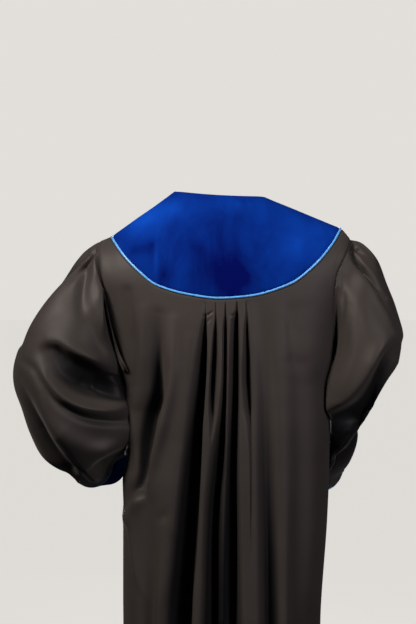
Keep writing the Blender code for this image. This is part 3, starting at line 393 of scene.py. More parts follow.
def yoke_seam(xs, front):
    """Points, normals and downward directions along the yoke seam."""
    xs = np.where(xs > TIP_LEFT_X - 0.0005, TIP_LEFT_X, xs)
    xs = np.where(xs < TIP_RIGHT_X + 0.0005, TIP_RIGHT_X, xs)
    zs = edge_front(xs) if front else edge_back(xs)
    pts, nor = torso_base(xs, zs, front)
    tip = (xs >= TIP_LEFT_X) | (xs <= TIP_RIGHT_X)
    pts[tip, 1] = 0.0
    nor[tip] = ridge_normal(xs[tip])
    tangent = unit(np.gradient(pts, axis=0))
    down = unit(np.cross(tangent, nor))
    flip = np.sum(down * (pts - np.array([0.0, 0.0, 0.02])), axis=-1) < 0
    down[flip] *= -1.0
    for i in np.nonzero(tip)[0]:
        # at the tip the seam crosses the shoulder, and down is along it
        out = np.array([nor[i, 2], 0.0, -nor[i, 0]])
        down[i] = out if out[0] * xs[i] > 0 else -out
    return pts, nor, down

# ------------------------------------------------------------------ pleats --
# pleats pressed into the yoke seam: height, place of the deepest line, depth,
# width of the soft slope and of the steep one
Pleat = namedtuple("Pleat", "z x depth soft steep")
PLEAT_1 = [
    Pleat(-0.2201, 0.0436, 0.0012, 0.0015, 0.0010),
    Pleat(-0.2470, 0.0430, 0.0030, 0.0020, 0.0012),
    Pleat(-0.2677, 0.0423, 0.0100, 0.0050, 0.0016),
    Pleat(-0.3090, 0.0421, 0.0220, 0.0100, 0.0022),
    Pleat(-0.3607, 0.0436, 0.0300, 0.0140, 0.0026),
    Pleat(-0.4269, 0.0483, 0.0340, 0.0160, 0.0030),
    Pleat(-0.4909, 0.0535, 0.0360, 0.0180, 0.0034),
    Pleat(-0.5674, 0.0576, 0.0380, 0.0220, 0.0040),
    Pleat(-0.6501, 0.0628, 0.0380, 0.0250, 0.0050),
    Pleat(-0.7535, 0.0700, 0.0360, 0.0300, 0.0060),
    Pleat(-0.8321, 0.0793, 0.0360, 0.0320, 0.0080),
    Pleat(-0.8920, 0.0835, 0.0340, 0.0340, 0.0100),
    Pleat(-1.0905, 0.0938, 0.0300, 0.0380, 0.0160),
    Pleat(-1.3468, 0.1062, 0.0260, 0.0440, 0.0240),
]
PLEAT_2 = [
    Pleat(-0.2201, 0.0227, 0.0010, 0.0015, 0.0010),
    Pleat(-0.2511, 0.0221, 0.0025, 0.0020, 0.0012),
    Pleat(-0.2966, 0.0256, 0.0120, 0.0070, 0.0020),
    Pleat(-0.3359, 0.0277, 0.0170, 0.0090, 0.0024),
    Pleat(-0.3876, 0.0306, 0.0170, 0.0100, 0.0026),
    Pleat(-0.4393, 0.0322, 0.0120, 0.0090, 0.0028),
    Pleat(-0.4847, 0.0308, 0.0040, 0.0080, 0.0032),
    Pleat(-0.5323, 0.0308, 0.0005, 0.0080, 0.0040),
    Pleat(-0.6501, 0.0339, 0.0000, 0.0080, 0.0060),
    Pleat(-0.8920, 0.0421, 0.0000, 0.0080, 0.0080),
    Pleat(-1.3468, 0.0545, 0.0000, 0.0100, 0.0100),
]
PLEAT_3 = [
    Pleat(-0.2201, 0.0018, 0.0010, 0.0015, 0.0010),
    Pleat(-0.2491, 0.0014, 0.0040, 0.0020, 0.0014),
    Pleat(-0.2842, 0.0012, 0.0200, 0.0034, 0.0024),
    Pleat(-0.3607, 0.0016, 0.0260, 0.0040, 0.0026),
    Pleat(-0.4124, 0.0024, 0.0270, 0.0048, 0.0028),
    Pleat(-0.4641, 0.0041, 0.0280, 0.0070, 0.0032),
    Pleat(-0.5116, 0.0057, 0.0280, 0.0120, 0.0040),
    Pleat(-0.5674, 0.0111, 0.0290, 0.0140, 0.0060),
    Pleat(-0.6501, 0.0215, 0.0300, 0.0130, 0.0090),
    Pleat(-0.7184, 0.0266, 0.0300, 0.0120, 0.0110),
    Pleat(-0.8217, 0.0297, 0.0290, 0.0120, 0.0130),
    Pleat(-0.8920, 0.0318, 0.0280, 0.0130, 0.0140),
    Pleat(-1.0905, 0.0359, 0.0220, 0.0160, 0.0180),
    Pleat(-1.3468, 0.0401, 0.0160, 0.0220, 0.0220),
]
PLEAT_4 = [
    Pleat(-0.2201, -0.0220, 0.0010, 0.0015, 0.0010),
    Pleat(-0.2429, -0.0230, 0.0060, 0.0030, 0.0014),
    Pleat(-0.2677, -0.0238, 0.0200, 0.0080, 0.0018),
    Pleat(-0.3359, -0.0240, 0.0290, 0.0100, 0.0022),
    Pleat(-0.4124, -0.0236, 0.0320, 0.0110, 0.0026),
    Pleat(-0.4909, -0.0222, 0.0330, 0.0120, 0.0030),
    Pleat(-0.5674, -0.0211, 0.0340, 0.0130, 0.0034),
    Pleat(-0.6501, -0.0215, 0.0360, 0.0140, 0.0040),
    Pleat(-0.7535, -0.0224, 0.0360, 0.0150, 0.0050),
    Pleat(-0.8920, -0.0232, 0.0340, 0.0170, 0.0070),
    Pleat(-1.0905, -0.0240, 0.0280, 0.0200, 0.0120),
    Pleat(-1.3468, -0.0240, 0.0220, 0.0260, 0.0200),
]
PLEAT_5 = [
    Pleat(-0.2201, -0.0412, 0.0010, 0.0015, 0.0010),
    Pleat(-0.2470, -0.0424, 0.0035, 0.0020, 0.0014),
    Pleat(-0.2842, -0.0443, 0.0110, 0.0050, 0.0018),
    Pleat(-0.3359, -0.0476, 0.0170, 0.0080, 0.0022),
    Pleat(-0.3876, -0.0497, 0.0190, 0.0110, 0.0024),
    Pleat(-0.4393, -0.0519, 0.0140, 0.0110, 0.0026),
    Pleat(-0.4909, -0.0528, 0.0060, 0.0070, 0.0026),
    Pleat(-0.5633, -0.0528, 0.0035, 0.0035, 0.0024),
    Pleat(-0.6501, -0.0525, 0.0030, 0.0030, 0.0026),
    Pleat(-0.7328, -0.0521, 0.0010, 0.0030, 0.0030),
    Pleat(-0.8010, -0.0519, 0.0000, 0.0040, 0.0040),
    Pleat(-0.8920, -0.0509, 0.0000, 0.0050, 0.0050),
    Pleat(-1.3468, -0.0488, 0.0000, 0.0080, 0.0080),
]

PLEAT_GAIN = 1.45          # the fine cloth dips deeper than the solid
# soft slope towards +x (1) or -x (-1)
PLEATS = [(PLEAT_1, 1), (PLEAT_2, -1), (PLEAT_3, 1), (PLEAT_4, 1), (PLEAT_5, 1)]

# folds: path through points (x z), width on its a side and on its b side,
# depth at its start, middle and end.  A path that runs down has its a side
# towards +x.  Troughs are negative, ridges positive.
Fold = namedtuple("Fold", "name a b d0 d1 d2 path")
BACK_FOLDS = [
    Fold("trough right of the pleats", .018, .017, -.001, -.030, -.048,
         (-.0680, -.225, -.0750, -.290, -.0830, -.388, -.0860, -.491, -.0880, -.594, -.0920, -.739, -.0950, -.892, -.102, -1.345)),
    Fold("roll right of that trough", .014, .030, .000, .004, .008,
         (-.1020, -.300, -.108, -.491, -.112, -.739, -.118, -1.345)),
    Fold("lit roll left of the first pleat", .010, .010, .001, .003, .003,
         (.0760, -.300, .0800, -.390, .0880, -.490, .0980, -.590, .108, -.700)),
    Fold("soft trough on the right", .022, .026, -.002, -.010, -.014,
         (-.1450, -.250, -.1520, -.400, -.1560, -.594, -.1480, -.892, -.150, -1.345)),
    Fold("bent crease, upper arm", .010, .016, -.0005, -.0020, -.001,
         (-.1274, -.216, -.1336, -.284, -.1398, -.350)),
    Fold("bent crease, lower arm", .020, .014, -.001, -.0015, -.0005,
         (-.1398, -.350, -.1584, -.3555, -.1791, -.346)),
    Fold("dark trough on the left", .016, .012, -.004, -.040, -.026,
         (.1385, -.255, .1424, -.305, .1455, -.4186, .1600, -.4702, .1690, -.5322, .1725, -.5800, .1790, -.6200)),
    Fold("outer soft trough on the left", .012, .010, -.003, -.007, -.002,
         (.2055, -.205, .1990, -.284, .1930, -.350, .1900, -.400)),
    Fold("roll between those troughs", .010, .010, .001, .004, .003,
         (.1720, -.240, .1740, -.330, .1790, -.400, .1860, -.440)),
    Fold("strip beside the pocket", .009, .008, .003, .010, .003,
         (.2030, -.420, .1960, -.490, .1910, -.535, .1880, -.585)),
    Fold("drape from the pleats to the side", .010, .012, .002, .016, .008,
         (.1062, -.2635, .1095, -.330, .1124, -.3876, .1331, -.4909, .1500, -.5500, .1680, -.6005, .1850, -.6400, .1992, -.6666, .2080, -.688)),
    Fold("hollow under the drape's end", .012, .006, -.002, -.007, -.002,
         (.1900, -.610, .2020, -.640, .2120, -.660)),
    Fold("crease down from the drape", .0045, .010, .004, .004, .001,
         (.2075, -.677, .2013, -.718, .1951, -.770, .1868, -.811, .1662, -.857)),
    Fold("soft trough below the drape", .018, .018, -.004, -.018, -.012,
         (.1600, -.650, .1620, -.700, .1640, -.760, .1640, -.822, .1620, -.900, .1600, -1.05, .160, -1.345)),
    Fold("roll to the first pleat", .016, .012, .002, .008, .010,
         (.0980, -.540, .1080, -.636, .1200, -.729, .1320, -.822, .1440, -.892, .160, -1.10, .172, -1.345)),
    Fold("dimple", .007, .009, -.002, -.004, -.001,
         (.1414, -.679, .1290, -.673, .1207, -.656)),
    Fold("low middle between the pleats", .026, .026, -.003, -.038, -.056,
         (.0050, -.440, .0085, -.594, .0100, -.720, .0100, -.892, .009, -1.345)),
    Fold("wide valley left of the first pleat", .022, .012, -.002, -.034, -.044,
         (.0640, -.400, .0690, -.480, .0780, -.600, .0860, -.768, .0920, -.902, .100, -1.345)),
    Fold("dim roll in the low middle", .006, .006, .000, .007, .008,
         (.0090, -.560, .0060, -.640, .0080, -.740, .0100, -.892)),
    Fold("dim roll in the first pleat", .005, .004, .000, .006, .007,
         (.0800, -.720, .0860, -.800, .0900, -.892, .096, -1.05)),
    Fold("mouth of the first pleat", .0016, .0022, -.004, -.0045, -.001,
         (.0436, -.2560, .0350, -.2510, .0275, -.2465)),
    Fold("second tuck of the first pleat", .0016, .0022, -.003, -.002, -.0005,
         (.0410, -.2700, .0360, -.2650, .0310, -.2600)),
    Fold("mouth of the fourth pleat", .0016, .0024, -.001, -.0035, -.004,
         (-.0080, -.2555, -.0150, -.2535, -.0225, -.2480)),
    Fold("hem flute on the left", .018, .016, .000, -.010, -.030,
         (.1960, -.860, .2060, -1.05, .216, -1.345)),
    Fold("hem flute on the right", .020, .018, .000, -.010, -.028,
         (-.1780, -.820, -.1860, -1.05, -.198, -1.345)),
    Fold("outer hem flute on the right", .014, .016, .000, .004, .014,
         (-.2120, -.900, -.2200, -1.10, -.230, -1.345)),
]
FRONT_FOLDS = [
    Fold("first flute left", .016, .018, -.001, -.014, -.032,
         (.0680, -.270, .0700, -.600, .0760, -.950, .085, -1.345)),
    Fold("roll beside it", .014, .014, .001, .006, .012,
         (.1020, -.270, .1040, -.600, .1100, -.950, .120, -1.345)),
    Fold("second flute left", .015, .015, -.001, -.010, -.028,
         (.1350, -.250, .1330, -.600, .1380, -.950, .152, -1.345)),
    Fold("third flute left", .012, .012, -.002, -.006, -.016,
         (.1880, -.300, .1760, -.480, .1820, -.900, .206, -1.345)),
    Fold("pull to the left underarm", .010, .008, -.001, -.006, -.004,
         (.1500, -.330, .1800, -.380, .2080, -.420)),
    Fold("second pull to the left underarm", .008, .010, -.001, -.004, -.003,
         (.1400, -.420, .1750, -.440, .2050, -.456)),
    Fold("first flute right", .018, .015, -.001, -.012, -.030,
         (-.0620, -.300, -.0660, -.560, -.0760, -.950, -.084, -1.345)),
    Fold("roll on the right", .014, .016, .001, .005, .012,
         (-.1040, -.330, -.1060, -.600, -.1120, -.950, -.118, -1.345)),
    Fold("second flute right", .014, .016, -.001, -.009, -.026,
         (-.1400, -.280, -.1420, -.560, -.1460, -.950, -.158, -1.345)),
    Fold("third flute right", .012, .012, -.001, -.008, -.018,
         (-.1900, -.340, -.1860, -.520, -.1900, -.900, -.212, -1.345)),
    Fold("pull to the right underarm", .010, .008, -.001, -.006, -.004,
         (-.2080, -.425, -.1800, -.390, -.1500, -.345)),
]
SLEEVE_FOLDS = {
    1: [
        Fold("dark strip above the upper face", .014, .013, -.010, -.022, -.016,
             (.3020, -.1230, .3480, -.1620, .3950, -.2120, .4280, -.2650, .4440, -.3050)),
        Fold("dark panel below the long crease", .016, .022, -.008, -.028, -.020,
             (.4330, -.3950, .4180, -.4250, .3900, -.4950, .3640, -.5420, .3340, -.5820)),
        Fold("deep tuck at the head", .0065, .0085, -.008, -.021, -.002,
             (.2690, -.1050, .2824, -.1200, .2972, -.1380, .3140, -.1600, .3330, -.1838)),
        Fold("edge of the upper face", .012, .030, .004, .0085, .003,
             (.2824, -.1332, .3183, -.1711, .3604, -.2196, .3962, -.2639, .4257, -.3060)),
        Fold("soft trough below the head", .010, .012, -.004, -.009, -.002,
             (.2761, -.1206, .2909, -.1543, .2993, -.1859, .3035, -.2217, .2993, -.2596)),
        Fold("lit roll to the underarm", .011, .010, .003, .0055, .003,
             (.2782, -.1269, .2845, -.1901, .2740, -.2491, .2550, -.3018, .2400, -.3480)),
        Fold("roll beside the seam", .014, .026, .004, .020, .026,
             (.2760, -.1250, .2690, -.1796, .2610, -.2322, .2520, -.2849, .2430, -.3300, .2340, -.3650)),
        Fold("floor of the great hollow", .018, .030, -.010, -.036, -.042,
             (.3560, -.3480, .3400, -.3760, .3140, -.3960, .2866, -.4090, .2550, -.4180, .2276, -.4230)),
        Fold("great hollow", .030, .009, -.012, -.026, -.032,
             (.3640, -.3230, .3500, -.3250, .3330, -.3360, .3014, -.3560, .2698, -.3740, .2403, -.3870, .2250, -.3900)),
        Fold("lip over the hollow", .008, .020, .002, .012, .014,
             (.3640, -.3080, .3400, -.3160, .3050, -.3340, .2720, -.3510, .2440, -.3620)),
        Fold("roll under the hollow", .014, .012, .001, .014, .012,
             (.4000, -.3620, .3800, -.3820, .3620, -.4040, .3380, -.4250, .3060, -.4430, .2700, -.4520, .2380, -.4480)),
        Fold("swag", .010, .009, -.002, -.013, -.012,
             (.4215, -.3524, .3983, -.3671, .3773, -.3966, .3499, -.4303, .3246, -.4514, .2972, -.4683, .2656, -.4767, .2403, -.4704, .2234, -.4577)),
        Fold("lit roll below the swag", .024, .022, .002, .018, .014,
             (.3940, -.4200, .3680, -.4700, .3360, -.5060, .3000, -.5300, .2640, -.5400)),
        Fold("long crease to the cuff", .012, .030, .002, .008, .006,
             (.4384, -.3650, .4131, -.4135, .3773, -.4851, .3499, -.5315, .3183, -.5757, .2960, -.6020)),
        Fold("short crease at the cuff", .004, .004, -.001, -.005, -.004,
             (.3300, -.5546, .3119, -.5757, .2909, -.6073)),
        Fold("lip over the cuff", .020, .007, .002, .010, .006,
             (.2200, -.4704, .2300, -.4999, .2540, -.5220, .2760, -.5430, .2930, -.5700)),
        Fold("black mouth over the cuff", .011, .012, -.010, -.026, -.008,
             (.2380, -.5250, .2520, -.5440, .2640, -.5620, .2760, -.5800)),
    ],
    -1: [
        Fold("deep tuck at the head", .006, .007, -.010, -.021, -.003,
             (-.2654, -.0995, -.2781, -.1416, -.2970, -.1669, -.3181, -.1964, -.3329, -.2154)),
        Fold("short tuck at the head", .004, .005, -.006, -.012, -.001,
             (-.2696, -.0995, -.2844, -.1164, -.2991, -.1290)),
        Fold("fine crease from the head", .010, .0045, .001, .0035, .002,
             (-.2739, -.1290, -.2949, -.1796, -.3160, -.2175, -.3413, -.2639, -.3539, -.2955)),
        Fold("soft trough beside the seam", .007, .007, -.001, -.004, -.002,
             (-.2423, -.1711, -.2465, -.2217, -.2465, -.2849)),
        Fold("gap beside the body", .010, .009, -.006, -.030, -.016,
             (-.2290, -.2050, -.2290, -.2849, -.2270, -.3903, -.2240, -.4746, -.2200, -.5500)),
        Fold("inner roll", .012, .020, .004, .014, .008,
             (-.2520, -.2300, -.2540, -.3000, -.2500, -.3700, -.2440, -.4500, -.2360, -.5300)),
        Fold("great fold from the elbow", .010, .026, -.005, -.024, -.028,
             (-.3720, -.3140, -.3497, -.3230, -.3308, -.3420, -.3139, -.3755, -.2970, -.4150, -.2823, -.4500, -.2640, -.4914, -.2440, -.5400)),
        Fold("floor of the dark panel", .026, .060, -.006, -.042, -.024,
             (-.3600, -.3500, -.3387, -.3774, -.3201, -.4350, -.2953, -.4960, -.2680, -.5440, -.2380, -.5900)),
        Fold("lip over that fold", .018, .009, .002, .010, .008,
             (-.3600, -.2960, -.3300, -.3120, -.3080, -.3500, -.2900, -.3950, -.2740, -.4350)),
        Fold("soft roll in the lower face", .010, .014, .002, .004, .003,
             (-.3560, -.3560, -.3400, -.3950, -.3140, -.4500)),
        Fold("thin crease to the cuff", .004, .0045, .001, .005, .004,
             (-.2760, -.4893, -.2654, -.5230, -.2465, -.5589, -.2250, -.6080)),
        Fold("groove beside it", .004, .0045, -.001, -.005, -.003,
             (-.2840, -.4930, -.2740, -.5280, -.2560, -.5620, -.2380, -.6000)),
    ],
}
# the sleeves hang over the edge of the body: height, reach, half height
Lip = namedtuple("Lip", "z reach tall")
LIPS = {1: [Lip(-0.405, 0.020, 0.050), Lip(-0.470, 0.034, 0.042), Lip(-0.526, 0.070, 0.040),
            Lip(-0.290, 0.014, 0.075)],
        -1: [Lip(-0.300, 0.008, 0.060), Lip(-0.430, 0.036, 0.085), Lip(-0.490, 0.040, 0.045)]}
HEM_TURN = 0.028            # hem stitching above the edge
CUFF_WAVES = ((17, 0.7, 1.0), (26, 2.1, 0.8), (37, 4.0, 0.5))
CUFF_GATHER = 0.0010
HEAD_WAVES = ((15, 0.4, 1.0), (23, 2.9, 0.7))
HEAD_GATHER = 0.0010
TUCK = 0.0012               # how far cloth sinks at a seam
TUCK_WIDTH = 0.0028


def smooth_step(t):
    t = np.clip(t, 0.0, 1.0)
    return t * t * (3.0 - 2.0 * t)


def spline(points, steps):
    """Smooth line through points."""
    p = np.asarray(points, float)
    p = np.vstack([2 * p[0] - p[1], p, 2 * p[-1] - p[-2]])
    out = []
    for i in range(1, len(p) - 2):
        for t in np.arange(steps) / steps:
            a, b, c, d = p[i - 1], p[i], p[i + 1], p[i + 2]
            out.append(0.5 * (2 * b + (c - a) * t + (2 * a - 5 * b + 4 * c - d) * t**2
                              + (3 * b - a - 3 * c + d) * t**3))
    out.append(p[-2])
    return np.array(out)


def fold_field(x, z, folds):
    """Sum of the folds at points (x z)."""
    total = np.zeros(np.broadcast(x, z).shape)
    for f in folds:
        line = spline(np.array(f.path).reshape(-1, 2), 5)
        seg = np.linalg.norm(np.diff(line, axis=0), axis=1)
        run = np.concatenate([[0.0], np.cumsum(seg)]) / seg.sum()
        reach = 3.2 * max(f.a, f.b)
        near = ((x > line[:, 0].min() - reach) & (x < line[:, 0].max() + reach)
                & (z > line[:, 1].min() - reach) & (z < line[:, 1].max() + reach))
        if not near.any():
            continue
        px, pz = x[near], z[near]
        best = np.full(px.shape, 1e9)
        side = np.zeros(px.shape)
        share = np.zeros(px.shape)
        for i in range(len(seg)):
            ax, az = line[i]
            bx, bz = line[i + 1] - line[i]
            t = np.clip(((px - ax) * bx + (pz - az) * bz) / (seg[i] ** 2), 0.0, 1.0)
            dx, dz = px - ax - t * bx, pz - az - t * bz
            d = np.hypot(dx, dz)
            cross = (-bz * dx + bx * dz) / (seg[i] * d + 1e-9)
            closer = d < best
            best = np.where(closer, d, best)
            side = np.where(closer, cross, side)
            share = np.where(closer, run[i] + t * (run[i + 1] - run[i]), share)
        width = f.b + (f.a - f.b) * smooth_step(0.5 + 0.5 * side)
        depth = np.interp(share, (0.0, 0.5, 1.0), (f.d0, f.d1, f.d2))
        total[near] += depth * np.exp(-(best / width) ** 2)
    return total


def pleat_field(x, z):
    """Depth of the pressed pleats; the deepest one counts where they meet."""
    total = np.zeros(np.broadcast(x, z).shape)
    for table, soft_side in PLEATS:
        zs = column_of(table, "z")
        off = (x - curve(zs, column_of(table, "x"))(z)) * soft_side
        depth = curve(zs, column_of(table, "depth"))(z) * PLEAT_GAIN
        soft = curve(zs, column_of(table, "soft"))(z)
        steep = curve(zs, column_of(table, "steep"))(z)
        t = np.where(off > 0, off / soft, -off / steep)
        power = np.where(off > 0, 1.7, 2.4)
        total += (depth * np.exp(-t**power)) ** 4
    return total ** 0.25


# ---------------------------------------------------------- grids to meshes --
def lengths(grid, axis):
    """Running length along a grid, for the weave's coordinates."""
    step = np.linalg.norm(np.diff(grid, axis=axis), axis=-1)
    step = step.mean(axis=1 - axis)
    return np.concatenate([[0.0], np.cumsum(step)])


def painted_shade_of(amount):
    """How deep in a trough cloth lies, 0 to 1: the weight of the shade painted into the cloth's colour there."""
    return smooth_step((-amount - 0.004) / 0.024)


def shell(name, outer, normals, thickness, closed=False, painted_shade=None):
    """Cloth wall under a grid of its outer face."""
    rows, cols = outer.shape[:2]
    inner = outer - normals * thickness
    verts = np.concatenate([outer.reshape(-1, 3), inner.reshape(-1, 3)])
    index = np.arange(rows * cols).reshape(rows, cols)
    c1 = np.roll(index, -1, axis=1) if closed else index[:, 1:]
    c0 = index if closed else index[:, :-1]
    a, b, c, d = c0[:-1], c0[1:], c1[1:], c1[:-1]
    front = np.stack([a, b, c, d], axis=-1).reshape(-1, 4)
    p = verts[front[:, 0]]
    face_n = np.cross(verts[front[:, 2]] - p, verts[front[:, 3]] - verts[front[:, 1]])
    like = normals.reshape(-1, 3)[front[:, 0]]
    if np.sum(np.sum(face_n * like, axis=1)) < 0:
        front = front[:, ::-1]
        flip = True
    else:
        flip = False
    n = rows * cols
    back = front[:, ::-1] + n
    rims = []
    for r, turn in ((0, False), (rows - 1, True)):
        q = np.stack([c0[r], c1[r], c1[r] + n, c0[r] + n], axis=-1)
        rims.append(q if turn == flip else q[:, ::-1])
    if not closed:
        for c, turn in ((0, True), (cols - 1, False)):
            q = np.stack([index[:-1, c], index[1:, c], index[1:, c] + n, index[:-1, c] + n], axis=-1)
            rims.append(q if turn == flip else q[:, ::-1])
    faces = np.concatenate([front, back] + rims)
    mesh = bpy.data.meshes.new(name)
    mesh.from_pydata(verts.tolist(), [], faces.tolist())
    mesh.polygons.foreach_set("use_smooth", np.ones(len(faces), dtype=bool))
    # the weave runs with the cut: across and along in metres
    across = lengths(outer, 1)
    along = lengths(outer, 0)
    uv = np.zeros((2 * n, 2))
    uv[:, 0] = np.tile(np.broadcast_to(across[None, :], (rows, cols)).reshape(-1), 2)
    uv[:, 1] = np.tile(np.broadcast_to(along[:, None], (rows, cols)).reshape(-1), 2)
    layer = mesh.uv_layers.new(name="cut")
    layer.data.foreach_set("uv", uv[faces.reshape(-1)].reshape(-1))
    # painted shade: how deep each point lies in a fold, which the cloth's material darkens
    if painted_shade is not None:
        deep = mesh.attributes.new("painted_shade", "FLOAT", "POINT")
        deep.data.foreach_set("value", np.tile(painted_shade.reshape(-1), 2).astype(np.float32))
    mesh.update()
    obj = bpy.data.objects.new(name, mesh)
    bpy.context.collection.objects.link(obj)
    return obj


def cord(name, line, radius, closed=False, sides=14):
    """Round cord along a line of points, with a fine twist of its cover."""
    pts = np.asarray(line, float)
    if closed:
        tangent = unit(np.roll(pts, -1, axis=0) - np.roll(pts, 1, axis=0))
    else:
        tangent = unit(np.gradient(pts, axis=0))
    ref = np.array([0.0, 0.0, 1.0])
    side = np.cross(tangent, ref)
    weak = np.linalg.norm(side, axis=-1) < 0.2
    side[weak] = np.cross(tangent[weak], np.array([0.0, 1.0, 0.0]))
    side = unit(side)
    for i in range(1, len(side)):
        s = side[i] if np.dot(side[i], side[i - 1]) > 0 else -side[i]
        side[i] = s
    up = unit(np.cross(side, tangent))
    ang = np.arange(sides) * 2 * np.pi / sides
    ring = (np.cos(ang)[None, :, None] * side[:, None, :] + np.sin(ang)[None, :, None] * up[:, None, :])
    verts = pts[:, None, :] + radius * ring
    m = len(pts)
    index = np.arange(m * sides).reshape(m, sides)
    nxt = np.roll(index, -1, axis=0) if closed else index[1:]
    cur = index if closed else index[:-1]
    quads = np.stack([cur, np.roll(cur, -1, axis=1), np.roll(nxt, -1, axis=1), nxt], axis=-1).reshape(-1, 4)
    faces = quads.tolist()
    if not closed:
        faces += [index[0][::-1].tolist(), index[-1].tolist()]
    mesh = bpy.data.meshes.new(name)
    mesh.from_pydata(verts.reshape(-1, 3).tolist(), [], faces)
    mesh.polygons.foreach_set("use_smooth", np.ones(len(faces), dtype=bool))
    run = np.concatenate([[0.0], np.cumsum(np.linalg.norm(np.diff(pts, axis=0), axis=1))])
    uv = []
    for f in faces:
        for v in f:
            uv += [run[v // sides], (v % sides) / sides * 2 * math.pi * radius]
    layer = mesh.uv_layers.new(name="cut")
    layer.data.foreach_set("uv", np.array(uv))
    mesh.update()
    obj = bpy.data.objects.new(name, mesh)
    bpy.context.collection.objects.link(obj)
    return obj


# ------------------------------------------------------------------ sleeves --
SLEEVE_RINGS = 186
SLEEVE_COLUMNS = 250


def periodic(values, count):
    """More samples round closed rings; values (rings, n, 3)."""
    n = values.shape[1]
    t = np.arange(count) * n / count
    i = np.floor(t).astype(int)
    f = (t - i)[None, :, None]
    a, b, c, d = (values[:, (i + k) % n] for k in (-1, 0, 1, 2))
    return 0.5 * (2 * b + (c - a) * f + (2 * a - 5 * b + 4 * c - d) * f**2
                  + (3 * b - a - 3 * c + d) * f**3)


def along(values, t):
    """Samples at ring numbers t through the rings."""
    v = np.concatenate([2 * values[:1] - values[1:2], values, 2 * values[-1:] - values[-2:-1]])
    i = np.clip(np.floor(t).astype(int), 0, len(values) - 2)
    f = (t - i)[:, None, None]
    a, b, c, d = (v[i + k] for k in (0, 1, 2, 3))
    return 0.5 * (2 * b + (c - a) * f + (2 * a - 5 * b + 4 * c - d) * f**2
                  + (3 * b - a - 3 * c + d) * f**3)


def waves(angle, table):
    return sum(w * np.cos(np.radians(angle) * k + p) for k, p, w in table)


